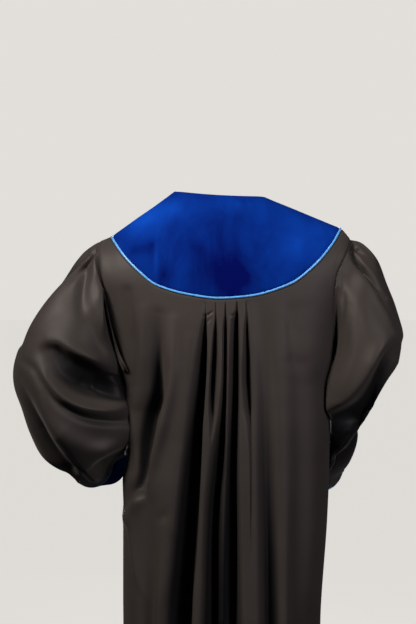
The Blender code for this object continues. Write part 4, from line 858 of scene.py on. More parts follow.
class FineSleeve:
    """Fine grid of a sleeve, and the seam that it shares with the panels."""

    def __init__(self, side):
        coarse = SLEEVES[side]
        self.side, self.coarse = side, coarse
        self.degrees = np.arange(SLEEVE_COLUMNS) * 360.0 / SLEEVE_COLUMNS
        last = len(coarse.rings) - 1
        t = np.linspace(0.0, 1.0, SLEEVE_RINGS)
        number = last * (t - 0.035 * np.sin(2 * np.pi * t))
        grid = along(periodic(coarse.rings, SLEEVE_COLUMNS), number)
        seam, torso_normal = armhole_point(side, self.degrees)
        grid = grid + (seam - grid[0])[None] * ((1.0 - np.clip(number, 0, 1)) ** 2)[:, None, None]
        self.last, self.number, self.grid = last, number, grid
        out = grid - grid.mean(axis=1, keepdims=True)
        own = grid_normals(grid, out, closed=True)
        self.seam_normal = unit(own[0] + torso_normal)
        lean_dir = unit(grid[2] - grid[0])
        lean = np.linalg.norm(np.cross(lean_dir, self.seam_normal), axis=-1)
        self.seam_shift = lean_dir * (SEAM_GAP / np.maximum(lean, 0.35))[:, None]
        self.out, self.own = out, own

    def seam_at(self, degrees):
        """Wall normal on the seam at any angle."""
        d = np.append(self.degrees, 360.0)
        n = np.vstack([self.seam_normal, self.seam_normal[:1]])
        a = np.asarray(degrees) % 360.0
        return unit(np.stack([np.interp(a, d, n[:, k]) for k in range(3)], axis=-1))

    def build(self, name):
        number = self.number[:, None] * np.ones((1, SLEEVE_COLUMNS))
        angle = np.ones((SLEEVE_RINGS, 1)) * self.degrees[None, :]
        blend = smooth_step(number / 0.5)[..., None]
        normal = unit(self.seam_normal[None] * (1 - blend) + self.own * blend)
        radial = self.coarse.round(np.radians(self.degrees))[None]
        blend = smooth_step((number - self.last + 0.5) / 0.5)[..., None]
        normal = unit(normal * (1 - blend) + radial * blend)
        x, z = self.grid[..., 0], self.grid[..., 2]
        rear = smooth_step((np.sin(np.radians(angle)) + 0.12) / 0.40)
        # the side next to the body keeps its place
        inward = -self.side * normal[..., 0]
        beside = 1.0 - smooth_step((inward - 0.62) / 0.36)
        folds = SLEEVE_FOLDS[self.side]
        field = fold_field(x, z, folds)
        amount = rear * field
        # the same kind of folds on the hidden side, a little lower and softer
        low = z + 0.018 + 0.020 * np.sin(9.0 * x)
        wide = [f._replace(a=f.a * 1.25, b=f.b * 1.25) for f in folds if "gap" not in f.name]
        amount += (1.0 - rear) * 0.75 * fold_field(x * 0.985, low, wide)
        ends = smooth_step(number / 0.30) * smooth_step((self.last - number) / 0.5)
        amount *= ends
        # painted shade: the deep folds darken the cloth's colour, mostly on the back half
        edge = smooth_step((np.sin(np.radians(angle)) + 0.45) / 0.35)
        painted_shade = painted_shade_of(np.minimum(amount, edge * ends * field))
        amount *= beside
        dist = np.linalg.norm(self.grid - self.grid[:1], axis=-1)
        top = smooth_step((np.cos(np.radians(angle)) + 0.25) / 0.9)
        amount += (HEAD_GATHER * top * waves(angle, HEAD_WAVES) * smooth_step(dist / 0.006)
                   * np.exp(-(dist / 0.055) ** 2))
        tail = np.linalg.norm(self.grid - self.grid[-1:], axis=-1)
        swing = waves(angle + 40.0 * tail, CUFF_WAVES)
        amount += CUFF_GATHER * swing * smooth_step(tail / 0.007) * np.exp(-(tail / 0.042) ** 2)
        amount += 0.0015 * smooth_step(tail / 0.010) * np.exp(-(tail / 0.030) ** 2)
        amount -= TUCK * np.exp(-(dist / TUCK_WIDTH) ** 2) + TUCK * np.exp(-(tail / TUCK_WIDTH) ** 2)
        push = unit(normal * 0.4 + np.array([0.0, 0.6, 0.0]) * np.sin(np.radians(angle))[..., None])
        push = unit(normal * (1.0 - 0.8 * rear)[..., None] + push * (0.8 * rear)[..., None])
        grid = self.grid + push * amount[..., None]
        for lip in LIPS[self.side]:
            bend = np.exp(-(np.abs((z - lip.z) / lip.tall)) ** 2.5)
            turn = np.exp(-((angle - 156.0) / 34.0) ** 2)
            grid[..., 0] -= self.side * lip.reach * bend * turn
        free = grid.copy()
        free[1:-1] = keep_clear(grid[1:-1])
        grid = free
        grid[0] = grid[0] + self.seam_shift
        grid[-1] = grid[-1] - self.coarse.axis * CORD_ROOM
        outer = grid + normal * CLOTH
        fine = grid_normals(outer, self.own, closed=True)
        fine[0] = normal[0]
        fine[-1] = normal[-1]
        return shell(name, outer, fine, CLOTH, closed=True, painted_shade=painted_shade)


FINE = {1: FineSleeve(1), -1: FineSleeve(-1)}


# ------------------------------------------------------------------- panels --
def edge_x(side, v):
    """Edge of the torso panels at a row: armhole seam, then side seam."""
    top = TOP_LEFT if side > 0 else TOP_RIGHT
    upper = (1.0 - np.cos(np.pi * np.minimum(v, ARMHOLE_ROWS) / ARMHOLE_ROWS)) / 2.0
    z = top.z + (UNDERARM_Z - top.z) * upper
    hole = armhole_left(z) if side > 0 else armhole_right(z)
    t = np.clip((v - ARMHOLE_ROWS) / SKIRT_ROWS, 0.0, 1.0)
    zl = UNDERARM_Z + (HEM_Z - UNDERARM_Z) * (0.75 * t + 0.25 * t**2)
    free = half_left(zl) if side > 0 else -half_right(zl)
    return np.where(v <= ARMHOLE_ROWS, hole, free)


def panel(name, front, sides, column_x, top_x, rows, folds):
    """A torso panel.  column_x(z, left, right) gives x of all columns."""
    n = len(top_x)
    v = np.concatenate([np.linspace(0.0, 1.0, rows[0], endpoint=False) ** 1.3 * ARMHOLE_ROWS,
                        ARMHOLE_ROWS + np.linspace(0.0, 1.0, rows[1]) * SKIRT_ROWS])
    m = len(v)
    inside = (top_x > TIP_RIGHT_X) & (top_x < TIP_LEFT_X)
    seam, seam_nor, down = yoke_seam(top_x[inside], front)
    start = np.stack([top_x, 0 * top_x, shoulder_z(top_x)], axis=-1)
    start[inside] = seam + down * CORD_ROOM
    upper = (1.0 - np.cos(np.pi * np.minimum(v, ARMHOLE_ROWS) / ARMHOLE_ROWS)) / 2.0
    t = np.clip((v - ARMHOLE_ROWS) / SKIRT_ROWS, 0.0, 1.0)
    skirt = UNDERARM_Z + (HEM_Z - UNDERARM_Z) * (0.75 * t + 0.25 * t**2)
    z = np.where((v <= ARMHOLE_ROWS)[:, None],
                 start[None, :, 2] + (UNDERARM_Z - start[None, :, 2]) * upper[:, None], skirt[:, None])
    left, right = edge_x(1, v), edge_x(-1, v)
    ease = np.where(v <= ARMHOLE_ROWS, (1.0 - upper) ** 2, 0.0)
    x = column_x(z, left[:, None], right[:, None])
    x = x + (start[:, 0] - top_x)[None] * ease[:, None]
    # columns lean out below the yoke tips
    mid, half = (TOP_LEFT.x + TOP_RIGHT.x) / 2.0, (TOP_LEFT.x - TOP_RIGHT.x) / 2.0
    share = (top_x - mid) / half
    near = np.exp(-((np.abs(share) - 0.93) / 0.10) ** 2) * np.minimum(1.0, (1.0 - np.abs(share)) / 0.08)
    swing = np.where(share > 0, TIP_SWING[1], -TIP_SWING[-1])
    x = x + (swing * near)[None] * (np.sqrt(upper) * (1.0 - upper) ** 2)[:, None]
    grid, base = torso_base(x, z, front)
    grid[0], base[0] = start, base[0]
    base[0, inside] = seam_nor
    base[0, ~inside] = ridge_normal(top_x[~inside])
    # the shoulder strip between yoke tip and armhole grows out of the ridge
    edge_in = np.ones((m, n))
    for s, c in sides:
        deg = np.minimum(v, ARMHOLE_ROWS) / ARMHOLE_ROWS * 180.0
        pts, _ = armhole_point(s, -deg if front else deg)
        seam_n = FINE[s].seam_at(-deg if front else deg)
        on = v <= ARMHOLE_ROWS
        grid[on, c] = pts[on]
        grid[~on, c, 1] = 0.0
        side_n = np.where(on[:, None], seam_n, np.array([float(s), 0.0, 0.0]))
        gap = np.linalg.norm(grid - grid[:, c:c + 1] if c == 0 else grid - grid[:, c:], axis=-1)
        w = np.exp(-(gap / 0.010) ** 2)[..., None]
        base = unit(base * (1 - w) + side_n[:, None, :] * w)
        base[:, c] = side_n
        edge_in = np.minimum(edge_in, smooth_step(gap / 0.020))
    # closer than in the solids, so that no light shows through the seam
    y = -0.1 * SEAM_GAP if front else 0.1 * SEAM_GAP
    for s, c in sides:
        grid[v >= ARMHOLE_ROWS, c, 1] = y
    grid[0, ~inside, 1] = y
    drop = np.linalg.norm(grid - grid[:1], axis=-1)
    amount = folds(grid[..., 0], z) * edge_in
    amount *= smooth_step(drop / 0.012) * inside[None] + smooth_step(drop / 0.05) * ~inside[None]
    amount -= TUCK * np.exp(-(drop / TUCK_WIDTH) ** 2)
    for s, c in sides:
        gap = np.linalg.norm(grid - (grid[:, c:c + 1] if c == 0 else grid[:, c:]), axis=-1)
        amount -= TUCK * np.exp(-(gap / TUCK_WIDTH) ** 2)
    # stitched turn-up of the hem
    height = z - HEM_Z
    amount -= 0.0010 * np.exp(-((height - HEM_TURN) / 0.0022) ** 2)
    amount += 0.0006 * smooth_step((HEM_TURN - height) / 0.004)
    grid = grid + base * amount[..., None]
    outer = grid + base * CLOTH
    fine = grid_normals(outer, base)
    fine[0] = base[0]
    for s, c in sides:
        fine[:, c] = base[:, c]
    return v, outer, fine


def back_layout():
    """Columns of the back: dense at the pleat lines and at the sides."""
    tops = [table[0].x for table, _ in PLEATS]
    inner = 24
    outer_n = 76
    u_out = np.linspace(0.0, 1.0, outer_n + 1)
    share_out = 1.0 - (1.0 - u_out) ** 1.9
    close = 0.5 - 0.5 * np.cos(np.pi * np.arange(inner) / inner)
    cols = []
    for u in share_out[::-1][:-1]:
        cols.append((0, 1.0 - u))          # from the left edge to the first pleat
    for k in range(4):
        for f in close:
            cols.append((k + 1, f))
    for u in share_out:
        cols.append((5, u))                # from the last pleat to the right edge
    kind = np.array([c[0] for c in cols])
    frac = np.array([c[1] for c in cols])
    lines = [curve(column_of(t, "z"), column_of(t, "x")) for t, _ in PLEATS]

    def column_x(z, left, right):
        guides = [left + 0 * z] + [g(z) for g in lines] + [right + 0 * z]
        out = np.zeros_like(z)
        for k in range(6):
            on = kind == k
            out[:, on] = guides[k][:, on] + (guides[k + 1][:, on] - guides[k][:, on]) * frac[on]
        return out
    guides = [TOP_LEFT.x] + tops + [TOP_RIGHT.x]
    top_x = np.array([guides[k] + (guides[k + 1] - guides[k]) * f for k, f in zip(kind, frac)])
    return column_x, top_x


def front_layout(side, count):
    u = np.linspace(0.0, 1.0, count)
    share = 1.0 - (1.0 - u[::-1]) ** 1.9        # 1 at the side, 0 at the centre
    share = share / share[0]
    top = TOP_LEFT.x if side > 0 else TOP_RIGHT.x

    def column_x(z, left, right):
        return (left if side > 0 else right) * share[None, :] + 0 * z
    return column_x, top * share


def yoke(name, front, xs, side):
    """Fine yoke from the neckline to its seam."""
    seam, seam_nor, down = yoke_seam(xs, front)
    xs = seam[:, 0]
    if front:
        span = np.where(xs >= 0, xs / TIP_LEFT_X, xs / TIP_RIGHT_X)
        neck_x = span * np.where(xs >= 0, NECK_LEFT_X, NECK_RIGHT_X)
        dip = NECK_DIP_FRONT * (1.0 - span**2.4)
    else:
        share = (xs - TIP_RIGHT_X) / (TIP_LEFT_X - TIP_RIGHT_X)
        neck_x = NECK_RIGHT_X + share * (NECK_LEFT_X - NECK_RIGHT_X)
        dip = NECK_DIP_BACK * (1.0 - (2.0 * share - 1.0) ** 2)
    corner_l, corner_r = float(shoulder_z(NECK_LEFT_X)), float(shoulder_z(NECK_RIGHT_X))
    reach = (neck_x - NECK_RIGHT_X) / (NECK_LEFT_X - NECK_RIGHT_X)
    neck_z = corner_r + (corner_l - corner_r) * reach - dip
    last = seam - down * CORD_ROOM
    rows = 64
    v = smooth_step(np.linspace(0, 1, rows)) * 0.35 + np.linspace(0, 1, rows) * 0.65
    x = neck_x[None] + (last[:, 0] - neck_x)[None] * v[:, None]
    z = np.minimum(neck_z[None] + (last[:, 2] - neck_z)[None] * v[:, None], shoulder_z(x))
    grid, base = torso_base(x, z, front)
    grid[-1] = last
    base[-1] = seam_nor
    # closer than in the solids, so that no light shows through the seam
    y = -0.1 * SEAM_GAP if front else 0.1 * SEAM_GAP
    tips = [0] if side else [0, len(xs) - 1]
    for c in tips:
        grid[:, c, 1] = y
        base[:, c] = ridge_normal(np.full(rows, xs[c] * 0.9))
        base[-1, c] = seam_nor[c]
    for c in tips:
        gap = np.linalg.norm(grid - grid[:, c][:, None], axis=-1)
        w = np.exp(-(gap / 0.006) ** 2)[..., None]
        base = unit(base * (1 - w) + base[:, c][:, None] * w)
    amount = np.zeros(x.shape)
    for edge, deep in ((grid[:1], 0.0016), (grid[-1:], TUCK)):
        gap = np.linalg.norm(grid - edge, axis=-1)
        amount -= deep * np.exp(-(gap / 0.0032) ** 2)
    for c in tips:
        gap = np.linalg.norm(grid - grid[:, c][:, None], axis=-1)
        amount -= 0.5 * TUCK * np.exp(-(gap / TUCK_WIDTH) ** 2)
    # cloth of the yoke lies in a few very shallow waves
    amount += fold_field(grid[..., 0], z, YOKE_WAVES_FRONT if front else YOKE_WAVES_BACK)
    if side:
        amount -= TUCK * np.exp(-((x - side * 0.0002) / TUCK_WIDTH) ** 2)
    outer = grid + base * (amount + VELVET)[..., None]
    if side:
        outer[:, -1, 0] = side * SEAM_GAP / 2.0
    fine = grid_normals(outer, base)
    fine[-1] = base[-1]
    for c in tips:
        fine[:, c] = base[:, c]
    if side:
        fine[:, -1, 0] = 0.0
        fine[:, -1] = unit(fine[:, -1])
    return shell(name, outer, fine, VELVET)


YOKE_WAVES_BACK = [
    Fold("wave at the left tip", .016, .020, -.0006, -.0020, -.0010,
         (.1500, -.030, .1480, -.090, .1420, -.150)),
    Fold("wave beside it", .018, .014, .0005, .0016, .0008,
         (.1780, -.060, .1760, -.110, .1700, -.150)),
    Fold("wave on the right", .020, .020, -.0005, -.0018, -.0010,
         (-.1000, -.020, -.1120, -.090, -.1100, -.170)),
]
YOKE_WAVES_FRONT = [
    Fold("wave on the left", .018, .018, -.0005, -.0016, -.0008,
         (.1400, -.050, .1300, -.120, .1150, -.180)),
    Fold("wave on the right", .018, .018, -.0005, -.0016, -.0008,
         (-.1200, -.050, -.1180, -.120, -.1050, -.180)),
]


def yoke_columns(count, side):
    """Places along the yoke seam, dense at its tips."""
    u = np.linspace(-1.0, 1.0, count) if side == 0 else np.linspace(0.0, 1.0, count)
    s = np.sin(u * math.pi / 2) * 0.6 + u * 0.4
    if side == 0:
        return np.where(s >= 0, s * TIP_LEFT_X, -s * TIP_RIGHT_X)[::-1]
    return (s * (TIP_LEFT_X if side > 0 else TIP_RIGHT_X))[::-1]


def yoke_cord(name, xs, front, side):
    seam, nor, _ = yoke_seam(xs, front)
    line = seam + nor * (VELVET * 0.6)
    line[0, 1] = -0.0016 if front else 0.0016
    if side == 0:
        line[-1, 1] = 0.0016
    else:
        line[-1, 0] = side * SEAM_GAP / 2.0
    return cord(name, line, PIPING_R)


def fly(name, faces):
    """Strip over the closure, laid on the outer face of both fronts."""
    across = np.linspace(-FLY_WIDTH / 2, FLY_WIDTH / 2, 25)
    (gl, nl), (gr, nr) = faces[1], faces[-1]
    outer, normals = [], []
    for k in range(2, gl.shape[0]):
        line, nor = [], []
        for x in across:
            g, n = (gl[k], nl[k]) if x >= 0 else (gr[k], nr[k])
            order = np.argsort(g[:, 0])
            p = [np.interp(x, g[order, 0], g[order, i]) for i in (1, 2)]
            q = [np.interp(x, g[order, 0], n[order, i]) for i in (0, 1, 2)]
            line.append((x, p[0], p[1]))
            nor.append(q)
        outer.append(line)
        normals.append(nor)
    outer, normals = np.array(outer), unit(np.array(normals))
    flat = unit(normals.mean(axis=1, keepdims=True))
    normals = unit(normals * 0.4 + flat * 0.6)
    edge = FLY_WIDTH / 2 - np.abs(outer[..., 0])
    lift = CLOTH + SEAM_GAP + 0.0012 - 0.0009 * np.exp(-(edge / 0.002) ** 2)
    lift -= 0.0007 * np.exp(-((edge - 0.006) / 0.0012) ** 2)
    outer = outer + normals * lift[..., None]
    outer[-1, :, 2] += 0.003
    fine = grid_normals(outer, normals)
    return shell(name, outer, fine, CLOTH)


def cuff(name, side):
    s = SLEEVES[side]
    cols = 176
    degrees = np.arange(cols) * 360.0 / cols
    rad = np.radians(degrees)
    rows = 34
    dist = CORD_ROOM + (CUFF_LENGTH - CORD_ROOM) * np.linspace(0, 1, rows)
    r = CUFF_R * (1.0 + 0.02 * (dist / CUFF_LENGTH))
    ring = s.round(rad)
    grid = (s.centre + s.axis * dist[:, None, None]
            + r[:, None, None] * ring[None])
    angle = degrees[None] * np.ones((rows, 1))
    near, far = (dist - dist[0])[:, None], (dist[-1] - dist)[:, None]
    amount = 0.0007 * waves(angle, CUFF_WAVES) * np.exp(-(near / 0.014) ** 2)
    amount -= TUCK * np.exp(-(near / TUCK_WIDTH) ** 2) + 0.0016 * np.exp(-(far / 0.0030) ** 2)
    amount -= 0.0007 * np.exp(-((far - 0.010) / 0.0014) ** 2)
    amount += 0.0016 * np.sin(np.radians(angle * 2) + 1.1) * smooth_step(near / 0.03)
    amount += 0.0009 * np.sin(np.radians(angle * 5) + 0.4) * smooth_step(near / 0.02)
    outer = grid + ring[None] * (amount + VELVET)[..., None]
    fine = grid_normals(outer, np.broadcast_to(ring[None], outer.shape), closed=True)
    return shell(name, outer, fine, VELVET, closed=True)


def cuff_cord(name, side):
    s = SLEEVES[side]
    rad = np.radians(np.arange(150) * 360.0 / 150)
    return cord(name, s.centre + (CUFF_R + VELVET * 0.6) * s.round(rad), PIPING_R, closed=True)


# ---------------------------------------------------------------- materials --
def nodes_of(name):
    mat = bpy.data.materials.new(name)
    mat.use_nodes = True
    tree = mat.node_tree
    return mat, tree, tree.nodes["Principled BSDF"]


def add(tree, kind, **values):
    node = tree.nodes.new(kind)
    for key, value in values.items():
        if hasattr(node, key):
            setattr(node, key, value)
        else:
            node.inputs[key.replace("_", " ")].default_value = value
    return node


def mix_colour(tree, factor, a, b):
    node = tree.nodes.new("ShaderNodeMix")
    node.data_type = "RGBA"
    tree.links.new(factor, node.inputs[0])
    node.inputs[6].default_value = a
    node.inputs[7].default_value = b
    return node.outputs[2]


def map_range(tree, value, a, b, lo, hi):
    node = add(tree, "ShaderNodeMapRange")
    for i, v in enumerate((a, b, lo, hi)):
        node.inputs[i + 1].default_value = v
    tree.links.new(value, node.inputs[0])
    return node.outputs[0]


def weave(tree, pitch_across, pitch_along):
    """Height of a plain weave from the cut's coordinates."""
    uv = add(tree, "ShaderNodeUVMap", uv_map="cut")
    made = []
    for axis, pitch in (("X", pitch_across), ("Y", pitch_along)):
        w = add(tree, "ShaderNodeTexWave", wave_type="BANDS", bands_direction=axis)
        w.inputs["Scale"].default_value = 0.314 / pitch
        w.inputs["Distortion"].default_value = 0.6
        w.inputs["Detail"].default_value = 1.0
        tree.links.new(uv.outputs[0], w.inputs["Vector"])
        made.append(w.outputs[1])
    m = add(tree, "ShaderNodeMath", operation="MULTIPLY")
    tree.links.new(made[0], m.inputs[0])
    tree.links.new(made[1], m.inputs[1])
    return m.outputs[0]


def robe_material():
    mat, tree, shader = nodes_of("robe_cloth")
    geo = add(tree, "ShaderNodeTexCoord").outputs["Object"]
    large = add(tree, "ShaderNodeTexNoise")
    large.inputs["Scale"].default_value = 5.0
    large.inputs["Detail"].default_value = 3.0
    tree.links.new(geo, large.inputs["Vector"])
    colour = mix_colour(tree, map_range(tree, large.outputs[0], 0.35, 0.65, 0.0, 1.0),
                        CLOTH_DARK, CLOTH_LIGHT)
    # painted darker where a fold is deep: the photo's valleys are black, and
    # the light alone leaves them too grey
    deep = add(tree, "ShaderNodeAttribute", attribute_name="painted_shade", attribute_type="GEOMETRY").outputs["Fac"]
    shade = tree.nodes.new("ShaderNodeMix")
    shade.data_type = "RGBA"
    shade.inputs[7].default_value = CLOTH_PAINTED_SHADE
    tree.links.new(deep, shade.inputs[0])
    tree.links.new(colour, shade.inputs[6])
    tree.links.new(shade.outputs[2], shader.inputs["Base Color"])
    fine = add(tree, "ShaderNodeTexNoise")
    fine.inputs["Scale"].default_value = 26.0
    fine.inputs["Detail"].default_value = 4.0
    tree.links.new(geo, fine.inputs["Vector"])
    tree.links.new(map_range(tree, fine.outputs[0], 0.3, 0.7, CLOTH_ROUGH - 0.03, CLOTH_ROUGH + 0.03),
                   shader.inputs["Roughness"])
    shader.inputs["Sheen Weight"].default_value = CLOTH_SHEEN
    shader.inputs["Sheen Roughness"].default_value = 0.45
    shader.inputs["Sheen Tint"].default_value = (1.0, 0.93, 0.86, 1.0)
    shader.inputs["Specular IOR Level"].default_value = CLOTH_SPECULAR
    soft = add(tree, "ShaderNodeBump")
    soft.inputs["Strength"].default_value = 0.25
    soft.inputs["Distance"].default_value = 0.0012
    tree.links.new(fine.outputs[0], soft.inputs["Height"])
    bump = add(tree, "ShaderNodeBump")
    bump.inputs["Strength"].default_value = 0.25
    bump.inputs["Distance"].default_value = 0.00006
    tree.links.new(weave(tree, 0.0006, 0.0007), bump.inputs["Height"])
    tree.links.new(soft.outputs[0], bump.inputs["Normal"])
    tree.links.new(bump.outputs[0], shader.inputs["Normal"])
    return mat


# strokes of the nap, with painted sheen and painted light: place, size and how much lighter.
# The lighter strokes towards the yoke's ends are partly painted sheen where the velvet
# turns away, the darker ones in the middle partly painted shade where it faces straight out.
NAP_AND_PAINTED_LIGHT = (
    (-0.012, -0.175, 0.110, 0.115, -0.55),
    (0.055, -0.120, 0.080, 0.110, -0.20),
    (-0.150, -0.105, 0.085, 0.120, 0.44),
    (-0.190, -0.075, 0.070, 0.080, 0.30),
    (0.185, -0.045, 0.110, 0.065, 0.98),
    (0.110, -0.030, 0.090, 0.050, 0.45),
    (0.1467, -0.135, 0.010, 0.075, 0.30),
    (0.190, -0.115, 0.050, 0.050, -0.30),
    (-0.030, -0.020, 0.130, 0.050, 0.28),
    (-0.225, -0.080, 0.040, 0.050, 0.16),
    (0.155, -0.105, 0.032, 0.064, -0.30),
    (0.128, -0.170, 0.036, 0.042, -0.24),
    # painted light on the left cuff, which lies in the sleeve's shadow
    (0.215, -0.570, 0.050, 0.045, 1.30),
)


def velvet_material():
    mat, tree, shader = nodes_of("blue_velvet")
    geo = add(tree, "ShaderNodeTexCoord").outputs["Object"]
    scaled = add(tree, "ShaderNodeMapping")
    scaled.inputs["Scale"].default_value = (1.0, 1.0, 0.55)
    tree.links.new(geo, scaled.inputs["Vector"])
    nap = add(tree, "ShaderNodeTexNoise")
    nap.inputs["Scale"].default_value = 11.0
    nap.inputs["Detail"].default_value = 5.0
    nap.inputs["Roughness"].default_value = 0.62
    nap.inputs["Distortion"].default_value = 0.5
    tree.links.new(scaled.outputs[0], nap.inputs["Vector"])
    # the pile is stroked one way here and another way there; the same strokes carry painted sheen at the yoke's ends
    # and painted light on the shaded left cuff
    level = map_range(tree, nap.outputs[0], 0.3, 0.7, 0.16, 0.56)
    for x, z, wide, tall, lift in NAP_AND_PAINTED_LIGHT:
        place = add(tree, "ShaderNodeMapping", vector_type="TEXTURE")
        place.inputs["Location"].default_value = (x, 0.0, z)
        place.inputs["Scale"].default_value = (wide, 10.0, tall)
        tree.links.new(geo, place.inputs["Vector"])
        spot = add(tree, "ShaderNodeTexGradient", gradient_type="QUADRATIC_SPHERE")
        tree.links.new(place.outputs[0], spot.inputs[0])
        more = add(tree, "ShaderNodeMath", operation="MULTIPLY_ADD")
        tree.links.new(spot.outputs["Fac"], more.inputs[0])
        more.inputs[1].default_value = lift
        tree.links.new(level, more.inputs[2])
        level = more.outputs[0]
    add_up = add(tree, "ShaderNodeClamp")
    tree.links.new(level, add_up.inputs[0])
    colour = mix_colour(tree, add_up.outputs[0], VELVET_DARK, VELVET_LIGHT)
    tree.links.new(colour, shader.inputs["Base Color"])
    tree.links.new(map_range(tree, nap.outputs[0], 0.3, 0.7, 0.78, 0.92), shader.inputs["Roughness"])
    shader.inputs["Sheen Weight"].default_value = VELVET_SHEEN
    shader.inputs["Sheen Roughness"].default_value = 0.30
    shader.inputs["Sheen Tint"].default_value = (0.02, 0.20, 1.0, 1.0)
    shader.inputs["Specular IOR Level"].default_value = 0.01
    pile = add(tree, "ShaderNodeTexNoise")
    pile.inputs["Scale"].default_value = 420.0
    pile.inputs["Detail"].default_value = 2.0
    tree.links.new(geo, pile.inputs["Vector"])
    soft = add(tree, "ShaderNodeBump")
    soft.inputs["Strength"].default_value = 0.35
    soft.inputs["Distance"].default_value = 0.003
    tree.links.new(nap.outputs[0], soft.inputs["Height"])
    bump = add(tree, "ShaderNodeBump")
    bump.inputs["Strength"].default_value = 0.35
    bump.inputs["Distance"].default_value = 0.0005
    tree.links.new(pile.outputs[0], bump.inputs["Height"])
    tree.links.new(soft.outputs[0], bump.inputs["Normal"])
    tree.links.new(bump.outputs[0], shader.inputs["Normal"])
    return mat


def satin_material():
    mat, tree, shader = nodes_of("blue_satin")
    uv = add(tree, "ShaderNodeUVMap", uv_map="cut").outputs[0]
    noise = add(tree, "ShaderNodeTexNoise")
    noise.inputs["Scale"].default_value = 160.0
    tree.links.new(uv, noise.inputs["Vector"])
    colour = mix_colour(tree, map_range(tree, noise.outputs[0], 0.35, 0.65, 0.0, 1.0),
                        (0.050, 0.230, 0.560, 1.0), (0.090, 0.320, 0.680, 1.0))
    tree.links.new(colour, shader.inputs["Base Color"])
    tree.links.new(map_range(tree, noise.outputs[0], 0.35, 0.65, 0.30, 0.42), shader.inputs["Roughness"])
    shader.inputs["Sheen Weight"].default_value = 0.1
    bump = add(tree, "ShaderNodeBump")
    bump.inputs["Strength"].default_value = 0.3
    bump.inputs["Distance"].default_value = 0.0002
    wave = add(tree, "ShaderNodeTexWave", wave_type="BANDS", bands_direction="DIAGONAL")
    wave.inputs["Scale"].default_value = 180.0
    tree.links.new(uv, wave.inputs["Vector"])
    tree.links.new(wave.outputs[1], bump.inputs["Height"])
    tree.links.new(bump.outputs[0], shader.inputs["Normal"])
    return mat


CLOTH_DARK = (0.0210, 0.0181, 0.0167, 1.0)
CLOTH_LIGHT = (0.0274, 0.0236, 0.0218, 1.0)
# near-black colour painted into the deepest folds as shade
CLOTH_PAINTED_SHADE = (0.0030, 0.0030, 0.0038, 1.0)
CLOTH_ROUGH = 0.54
CLOTH_SHEEN = 0.05
CLOTH_SPECULAR = 0.13
VELVET_DARK = (0.0005, 0.0024, 0.060, 1.0)
VELVET_LIGHT = (0.0020, 0.036, 0.280, 1.0)
VELVET_SHEEN = 0.02

# ----------------------------------------------------------------- assemble --
robe, velvet, satin = robe_material(), velvet_material(), satin_material()
WORDS = ((1, "left"), (-1, "right"))


def finish_piece(obj, node, material):
    obj.data.materials.append(material)
    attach(obj, "root")
    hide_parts(node)
    return obj


column_x, top_x = back_layout()


def back_relief(x, z):
    return fold_field(x, z, BACK_FOLDS) - pleat_field(x, z)


_, outer, fine = panel("back", False, ((1, 0), (-1, len(top_x) - 1)), column_x, top_x, (92, 100),
                       back_relief)
# the back's deep folds and pleats get painted shade in the cloth's colour
finish_piece(shell("robe_back", outer, fine, CLOTH, painted_shade=painted_shade_of(back_relief(outer[..., 0], outer[..., 2]))),
             "back_panel", robe)

faces = {}
for side, word in WORDS:
    column_x, top_x = front_layout(side, 128)
    _, outer, fine = panel("front", True, ((side, 0),), column_x, top_x, (76, 100),
                           lambda x, z: fold_field(x, z, FRONT_FOLDS))
    outer[:, -1, 0] = side * SEAM_GAP / 2.0
    fine[:, -1, 0] = 0.0
    fine[:, -1] = unit(fine[:, -1])
    faces[side] = (outer, fine)
    # the fronts' deep folds get painted shade in the cloth's colour
    deep = painted_shade_of(fold_field(outer[..., 0], outer[..., 2], FRONT_FOLDS))
    finish_piece(shell("robe_front_" + word, outer, fine, CLOTH, painted_shade=deep), "front_" + word, robe)
finish_piece(fly("robe_front_fly", faces), "front_fly", robe)

for side, word in WORDS:
    finish_piece(FINE[side].build("robe_sleeve_" + word), "sleeve_" + word, robe)
    finish_piece(cuff("velvet_cuff_" + word, side), "cuff_" + word, velvet)
    finish_piece(cuff_cord("satin_piping_cuff_" + word, side), "piping_cuff_" + word, satin)
    finish_piece(yoke("velvet_yoke_front_" + word, True, yoke_columns(96, side), side),
                 "yoke_front_" + word, velvet)
    finish_piece(yoke_cord("satin_piping_front_" + word, yoke_columns(90, side), True, side),
                 "piping_front_" + word, satin)
finish_piece(yoke("velvet_yoke_back", False, yoke_columns(190, 0), 0), "yoke_back", velvet)
finish_piece(yoke_cord("satin_piping_back", yoke_columns(180, 0), False, 0), "piping_back", satin)

# -------------------------------------------------------------------- studio --
BACKDROP = (0.760, 0.738, 0.705, 1.0)
AMBIENT = (0.022, 0.024, 0.030, 1.0)
FLOOR_ALBEDO = 0.04
world = bpy.data.worlds.new("studio")
bpy.context.scene.world = world
world.use_nodes = True
tree = world.node_tree
path = add(tree, "ShaderNodeLightPath")
tree.links.new(mix_colour(tree, path.outputs["Is Camera Ray"], AMBIENT, BACKDROP),
               tree.nodes["Background"].inputs[0])

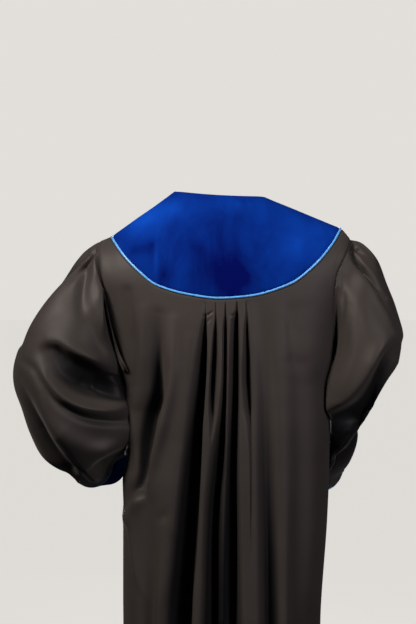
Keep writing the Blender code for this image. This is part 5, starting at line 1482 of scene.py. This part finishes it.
mat, tree, shader = nodes_of("floor")
shader.inputs["Base Color"].default_value = tuple(c * FLOOR_ALBEDO for c in (1.0, 1.0, 1.0)) + (1.0,)
shader.inputs["Roughness"].default_value = 1.0
shader.inputs["Specular IOR Level"].default_value = 0.0
path = add(tree, "ShaderNodeLightPath")
glow = tuple(c * (1.0 - FLOOR_ALBEDO) for c in BACKDROP[:3]) + (1.0,)
tree.links.new(mix_colour(tree, path.outputs["Is Camera Ray"], AMBIENT, glow),
               shader.inputs["Emission Color"])
shader.inputs["Emission Strength"].default_value = 1.0
bpy.ops.mesh.primitive_plane_add(size=400.0, location=(0.0, 0.0, -1.42))
floor = bpy.context.object
floor.name = "floor"
floor.data.materials.append(mat)


def softbox(name, place, target, size, power, colour, spread):
    data = bpy.data.lights.new(name, "AREA")
    data.shape = "RECTANGLE"
    data.size, data.size_y = size
    data.energy = power
    data.color = colour
    data.spread = math.radians(spread)
    obj = bpy.data.objects.new(name, data)
    obj.location = place
    obj.rotation_euler = (Vector(target) - Vector(place)).to_track_quat("-Z", "Y").to_euler()
    bpy.context.collection.objects.link(obj)
    return obj


softbox("key", (2.0, 1.75, 1.95), (0.05, 0.1, -0.05), (0.9, 0.9), 29.0, (1.0, 0.90, 0.82), 66.0)
softbox("fill", (-2.0, 2.6, 0.70), (-0.05, 0.1, -0.10), (0.9, 1.2), 13.0, (1.0, 0.93, 0.95), 70.0)
softbox("front_key", (-0.25, -3.3, -0.05), (0.0, -0.1, -0.45), (1.2, 1.4), 22.0, (1.0, 0.92, 0.84), 90.0)
softbox("front_fill", (0.45, -3.3, -0.55), (0.0, -0.1, -0.60), (1.2, 1.6), 9.0, (0.90, 0.95, 1.0), 100.0)

cam_data = bpy.data.cameras.new("camera")
cam_data.lens = 1381.0 * 36.0 / 624.0
cam_data.sensor_width = 36.0
cam = bpy.data.objects.new("camera", cam_data)
cam.location = (0.038, 3.0, -0.247)
cam.rotation_euler = (math.radians(90.0), 0.0, math.radians(180.0))
bpy.context.collection.objects.link(cam)
bpy.context.scene.camera = cam
bpy.context.scene.view_settings.view_transform = "Standard"
